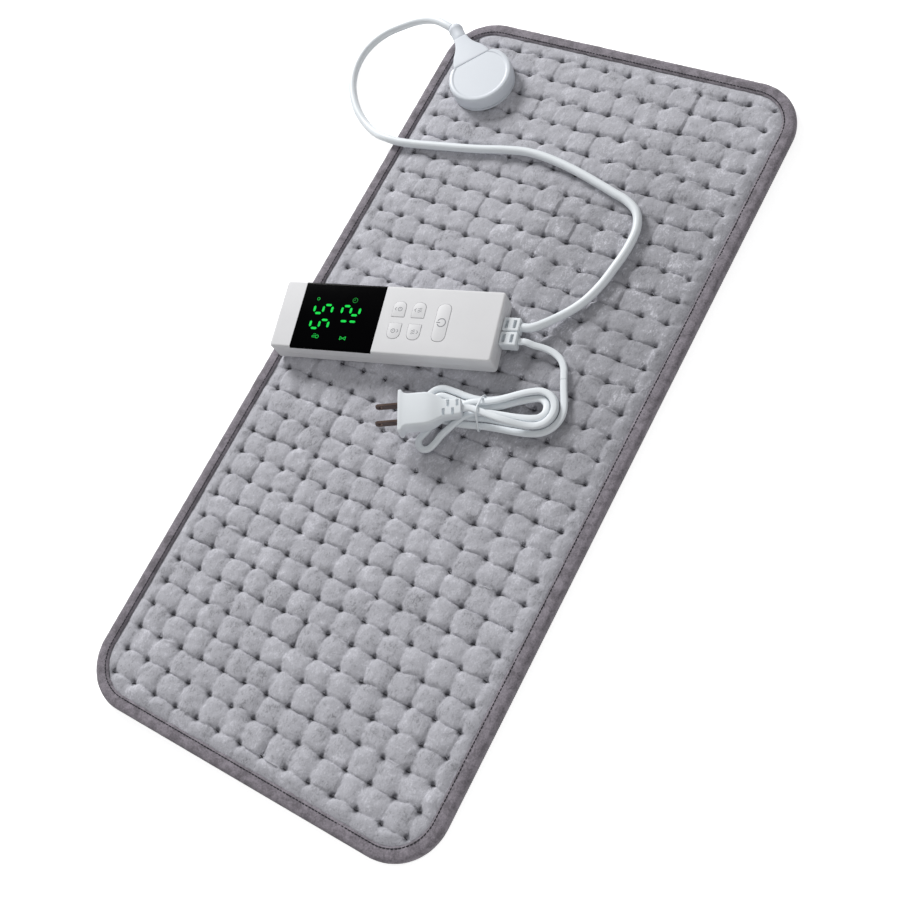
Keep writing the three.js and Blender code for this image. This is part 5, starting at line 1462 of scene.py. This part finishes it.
def plug_plan(inset):
    """Outline of the pad plug: wide at the socket, narrow at the neck."""
    places, halves = zip(*PLUG_HALF_WIDTHS)
    front, back = places[0] + 0.2 * inset, PLUG_END - 0.3 * inset
    curve = [(x, np.interp(x, places, halves) - inset)
             for x in (mixed(front, back, step / 24) for step in range(25))]
    middle = [(b[0], (a[1] + 2 * b[1] + c[1]) / 4)
              for a, b, c in zip(curve, curve[1:], curve[2:])]
    side = [curve[0], *middle, curve[-1]]
    return [(x * MM, -y * MM) for x, y in side] + [(x * MM, y * MM) for x, y in side[::-1]]


def pad_plug():
    """The plug on the pad with its nose and bores, and the boot with its ball."""
    _, _, tones = settings()
    material = moulded_finish("plug_vinyl", tones.connector, 0.52)
    body = pillow(lambda inset: plug_plan(inset / MM),
                  (PLUG_TOP - PLUG_HEIGHT) * MM, PLUG_TOP * MM, 1.5 * MM, 6)
    half = NOSE_HEIGHT / 2
    nose = block(13, NOSE_WIDTH, 0.8, 3, PIN_LEVEL - half, PIN_LEVEL + half, 11.4)
    bores = []
    for place_y in PIN_PLACES:
        vertices, faces = turn_profile([(1.9, 3), (1.9, 17.6)], 20)
        bores.append(([(x, y + place_y * MM, z + PIN_LEVEL * MM)
                       for x, y, z in along_x(vertices)], faces))
    mesh = carve(*body, bores, [nose])
    dress("pad_plug_moulding", placed(mesh, CONNECTOR), material, PLUG_BODY,
          ["pad_plug"], 35)
    middle = BOOT_LENGTH - KNOB_RADIUS
    ball = []
    for step in range(20):
        angle = math.radians(112) * (1 - step / 20)
        ball.append((KNOB_RADIUS * math.sin(angle), middle + KNOB_RADIUS * math.cos(angle)))
    vertices, faces = turn_profile([*RELIEF_PROFILE, *ball, (0.05, BOOT_LENGTH)], 28)
    vertices = [(x + (PLUG_END + FIT) * MM, y, z + PLUG_MIDDLE * MM)
                for x, y, z in along_x(vertices)]
    piece("pad_plug_relief", moved(vertices, CONNECTOR), faces, material, PLUG_BODY,
          "cord_plastic", ["pad_plug_boot"], 50)


# Cords and mains plug, with their sizes in millimetres

MAINS_PLUG_PLAN = [
    (0, 5.2), (0.5, 5.9), (1.4, 6.2), (4, 6.5), (8, 6.8), (11, 7.0), (13, 7.4), (16, 9.2),
    (19, 10.9), (22, 12.0), (25, 12.5), (30, 12.5), (36, 12.5), (37.8, 12.6), (39.4, 13.2),
    (40.4, 14.2), (41.1, 15.2), (41.5, 15.6), (43.0, 15.6), (43.5, 15.2),
]
MAINS_PLUG_LENGTH = 43.5
PLUG_BODY_HALF = 6.7
PLUG_SWELL = (10, 24)
PLUG_END_ROUND = 0.6
PLUG_EDGE, PLUG_FACE_EDGE, PLUG_FACE_START = 2.0, 1.2, 41
RELIEF_START, RELIEF_PITCH, RELIEF_SIDE = 2.6, 3.2, 3.1
RELIEF_LENGTH, RELIEF_WIDTH = 1.9, 5.2
RELIEF_LEVEL, RELIEF_HALF = 4.6, 2.4
SEAT_LENGTH, SEAT_WIDTH, SEAT_HALF = 17, 2.1, 3.5
BLADE_OFFSET = 12.7 / 2
TIE_SPREAD = 1.5


def pad_lead():
    """The round lead, which bends where its plug is pulled out."""
    _, cords, tones = settings()
    vinyl = moulded_finish("round_cord_vinyl", tones.cord, 0.4, 0.0008)
    line = lead_line()
    vertices, faces = sweep(line, circle(cords.lead / 2, 16))
    cord = piece("pad_lead_cord", vertices, faces, vinyl, None, "cord_plastic", ["pad_lead"], 60)
    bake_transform(cord)


def mains_cord():
    """The flat cord's free stretch and its hank."""
    _, cords, tones = settings()
    vinyl = moulded_finish("flat_cord_vinyl", tones.cord, 0.38, 0.0008)
    section = twin_section(cords.mains_width, cords.mains_thickness)
    line, wound = mains_lead_line(), hank_line()
    lead, hank = [
        piece(f"{name}_cord", *sweep(run, section), vinyl, PAD_BODY, "cord_plastic", [name], 60)
        for name, run in (("mains_lead", line), ("mains_hank", wound))]


def tail_crossing():
    """Where the last stretch of cord crosses over the hank's waist, in the hank's frame."""
    into = HANK.inverted()
    line = [into @ point for point in hank_line()]
    last = max(i for i, point in enumerate(line) if point.x > 0)
    before, after = line[last], line[last + 1]
    return before.lerp(after, before.x / (before.x - after.x))


def wrapped(points, distance, steps=5):
    """Outline at a distance round convex points, given anticlockwise."""
    ways = []
    for (x, y), (next_x, next_y) in zip(points, points[1:] + points[:1]):
        ways.append(math.atan2(next_y - y, next_x - x) - math.pi / 2)
    outline = []
    for i, (x, y) in enumerate(points):
        start = ways[i - 1]
        sweep_angle = (ways[i] - start) % (2 * math.pi)
        for step in range(steps + 1):
            angle = start + sweep_angle * step / steps
            outline.append((x + distance * math.cos(angle), y + distance * math.sin(angle)))
    return outline


def cord_tie():
    """The band round the hank's waist and the cord's last stretch."""
    _, cords, tones = settings()
    tail = tail_crossing()
    lobe = (cords.mains_width - cords.mains_thickness) / 2

    def strand(turns_away):
        return (WAIST + STRAND_PITCH * turns_away) * MM + lobe

    points = [(-strand(1.75), LOWER_LAYER * MM), (strand(1.25), LOWER_LAYER * MM),
              (strand(0.75), UPPER_LAYER * MM), (tail.y + lobe, tail.z), (tail.y - lobe, tail.z)]
    ring = wrapped(points, cords.mains_thickness / 2 + 2 * FIT * MM + cords.tie / 2)
    section = circle(cords.tie / 2, 10)
    rings = []
    for i, (b, z) in enumerate(ring):
        before, after = Vector(ring[i - 1]), Vector(ring[(i + 1) % len(ring)])
        way = (after - before).normalized()
        out = Vector((way.y, -way.x))
        rings.append([tuple(HANK @ Vector((s * TIE_SPREAD, b + out.x * t, z + out.y * t)))
                      for s, t in section])
    piece("cord_tie_band", *closed_loft(rings), moulded_finish("tie_vinyl", tones.cord, 0.4),
          PAD_BODY, "cord_plastic", ["cord_tie"], 60)


def mains_plug():
    """The mains plug's moulding, slotted at its tail and open for its blades."""
    _, _, tones = settings()
    material = moulded_finish("mains_plug_vinyl", darker(tones.cord, 0.985), 0.42)
    rings = []
    for x, half in MAINS_PLUG_PLAN:
        thick = mixed(PLUG_TAIL_HALF, PLUG_BODY_HALF, smooth(*PLUG_SWELL, x))
        if x in (0, MAINS_PLUG_LENGTH):
            thick -= PLUG_END_ROUND
        edge = PLUG_EDGE if x < PLUG_FACE_START else PLUG_FACE_EDGE
        outline = rounded(2 * half * MM, 2 * thick * MM, edge * MM, 5)
        rings.append([(x * MM, y, z) for y, z in outline])
    slots = [block(RELIEF_LENGTH, RELIEF_WIDTH, 0.4, 3, face * RELIEF_LEVEL - RELIEF_HALF,
                   face * RELIEF_LEVEL + RELIEF_HALF, RELIEF_START + i * RELIEF_PITCH,
                   way * RELIEF_SIDE)
             for i, way in enumerate((-1, 1, -1, 1)) for face in (-1, 1)]
    seats = [block(SEAT_LENGTH, SEAT_WIDTH, 0.2, 2, -SEAT_HALF, SEAT_HALF, MAINS_PLUG_LENGTH,
                   way * BLADE_OFFSET) for way in (-1, 1)]
    mesh = carve(*loft(rings), slots + seats)
    dress("mains_plug_moulding", placed(mesh, MAINS_PLUG), material, PAD_BODY,
          ["mains_plug"], 35)
    give(brushed_finish("blade_metal", linear((98, 83, 77)), 0.3), "plug_blade_1", "plug_blade_2")


# Stage, in metres, with the camera as fitted to the photograph

FLOOR_HALF = 3
FLOOR_LEVEL = -0.0005
FLOOR_TONE = (0.84, 0.84, 0.84)
FLOOR_GLOW = 0.68
ROOM_LIGHT = 0.27
WHITE = (1, 1, 1, 1)
LAMPS = (
    ("key_lamp", (-2.3, 1.45, 1.65), 1.1, 98),
    ("fill_lamp", (1.2, -0.8, 1.5), 1.4, 9),
)
CAMERA_SENSOR, CAMERA_LENS = 36, 52.25
CAMERA_RIGHT = (0.83143, 0.46214, -0.30845)
CAMERA_DOWN = (0.33464, -0.85967, -0.38599)
CAMERA_FORWARD = (-0.44355, 0.21771, -0.86941)
CAMERA_PLACE = (0.421533, -0.233420, 0.783810)


def floor_finish():
    """Pale floor that the camera and reflections see as white, with the object's shadow."""
    made = Finish("pale_floor")
    camera_ray = made.node("ShaderNodeLightPath", output="Is Camera Ray")
    path = camera_ray.socket.node
    glossy_ray, clear_ray = [Link(made, path.outputs[name])
                             for name in ("Is Glossy Ray", "Is Transmission Ray")]
    seen = (camera_ray + glossy_ray + clear_ray).math("MINIMUM", 1.0)
    pale = made.node("ShaderNodeBsdfDiffuse", inputs={"Color": (*FLOOR_TONE, 1)})
    glow = made.node("ShaderNodeEmission", inputs={"Color": WHITE, "Strength": FLOOR_GLOW})
    lifted = made.node("ShaderNodeAddShader", inputs={0: pale, 1: glow})
    made.output(made.node("ShaderNodeMixShader", inputs={0: seen, 1: pale, 2: lifted}))
    return made.material


def stage():
    """The floor, the room's light, the lamps and the photograph's camera."""
    scene = bpy.context.scene
    corners = [(-1, -1), (1, -1), (1, 1), (-1, 1)]
    floor = piece("floor", [(x * FLOOR_HALF, y * FLOOR_HALF, FLOOR_LEVEL) for x, y in corners],
                  [(0, 1, 2, 3)], floor_finish(), None)
    world = bpy.data.worlds.new("studio")
    scene.world = world
    made = Finish("studio", world)
    seen = made.node("ShaderNodeLightPath", output="Is Camera Ray")
    room = made.node("ShaderNodeBackground", inputs={"Color": WHITE, "Strength": ROOM_LIGHT})
    shown = made.node("ShaderNodeBackground", inputs={"Color": WHITE, "Strength": 1.0})
    blend = made.node("ShaderNodeMixShader", inputs={0: seen, 1: room, 2: shown})
    made.output(blend, "ShaderNodeOutputWorld")
    for row in LAMPS:
        lamp(*row)
    camera = bpy.data.cameras.new("photo_camera")
    camera.sensor_width = CAMERA_SENSOR
    camera.lens = CAMERA_LENS
    camera.clip_start = 0.01
    viewer = bpy.data.objects.new("photo_camera", camera)
    rows = [(CAMERA_RIGHT[k], -CAMERA_DOWN[k], -CAMERA_FORWARD[k], CAMERA_PLACE[k])
            for k in range(3)]
    viewer.matrix_world = Matrix([*rows, (0, 0, 0, 1)])
    scene.collection.objects.link(viewer)
    scene.camera = viewer
    scene.view_settings.view_transform = "Standard"


def lamp(name, place, size, power):
    """A round soft lamp that points at the middle of the pad."""
    data = bpy.data.lights.new(name, "AREA")
    data.shape = "DISK"
    data.size = size
    data.energy = power
    made = bpy.data.objects.new(name, data)
    made.location = place
    made.rotation_euler = (-Vector(place)).to_track_quat("-Z", "Y").to_euler()
    bpy.context.scene.collection.objects.link(made)


# Operators, panel and registration


def operator(identifier, label, words, *builders):
    """An operator class that runs the builders of one group of pieces."""

    def execute(self, context):
        for builder in builders:
            builder()
        return {"FINISHED"}

    name = "HEATPAD_OT_" + identifier
    return type(name, (bpy.types.Operator,), {
        "bl_idname": "heatpad." + identifier, "bl_label": label, "__doc__": words,
        "bl_options": {"REGISTER", "UNDO"}, "execute": execute})


OPERATORS = [
    operator("stage", "Stage", "Adds the floor, the lamps and the photograph's camera", stage),
    operator("mains_plug", "Mains plug", "Adds the mains plug and finishes its blades", mains_plug),
    operator("cord_tie", "Cord tie", "Adds the band round the hank", cord_tie),
    operator("mains_cord", "Mains cord", "Adds the flat cord and its hank", mains_cord),
    operator("pad_plug", "Pad plug", "Adds the plug in the pad's corner and its relief", pad_plug),
    operator("pad_lead", "Pad lead", "Adds the round lead between controller and pad", pad_lead),
    operator("socket", "Socket", "Adds the socket's dome", socket),
    operator("quilt", "Quilted cover", "Adds the plush cover and its tufts", quilted_cover),
    operator("binding", "Binding", "Adds the binding tape and its seam", edge_binding),
    operator("layers", "Inner layers", "Adds the back cloth, carrier and wadding", inner_layers),
    operator("shells", "Shells", "Adds the controller's shells and strain reliefs",
             controller_shells),
    operator("display", "Display", "Adds the window and its lit segments", display),
    operator("keys", "Keys", "Adds the key caps and their marks", keys),
    operator("inside", "Inside parts", "Finishes the parts inside pad and controller",
             inside_parts),
]


class HEATPAD_PT_sidebar(bpy.types.Panel):
    """Lists the sizes, the colours and an operator for each group of pieces"""

    bl_idname = "HEATPAD_PT_sidebar"
    bl_label = "Heating pad"
    bl_space_type = "VIEW_3D"
    bl_region_type = "UI"
    bl_category = "Heating pad"

    def draw(self, context):
        layout = self.layout
        for group in (context.scene.pad_sizes, context.scene.cord_sizes, context.scene.pad_colours):
            box = layout.box()
            for name in group.__annotations__:
                box.prop(group, name)
        for made in OPERATORS:
            layout.operator(made.bl_idname)


CLASSES = [PadSizes, CordSizes, PadColours, *OPERATORS, HEATPAD_PT_sidebar]


def register():
    for made in CLASSES:
        bpy.utils.register_class(made)
    bpy.types.Scene.pad_sizes = bpy.props.PointerProperty(type=PadSizes)
    bpy.types.Scene.cord_sizes = bpy.props.PointerProperty(type=CordSizes)
    bpy.types.Scene.pad_colours = bpy.props.PointerProperty(type=PadColours)


def unregister():
    del bpy.types.Scene.pad_sizes
    del bpy.types.Scene.cord_sizes
    del bpy.types.Scene.pad_colours
    for made in reversed(CLASSES):
        bpy.utils.unregister_class(made)


def main():
    register()
    for made in OPERATORS:
        getattr(bpy.ops.heatpad, made.bl_idname.split(".")[1])()


if __name__ == "__main__":
    main()
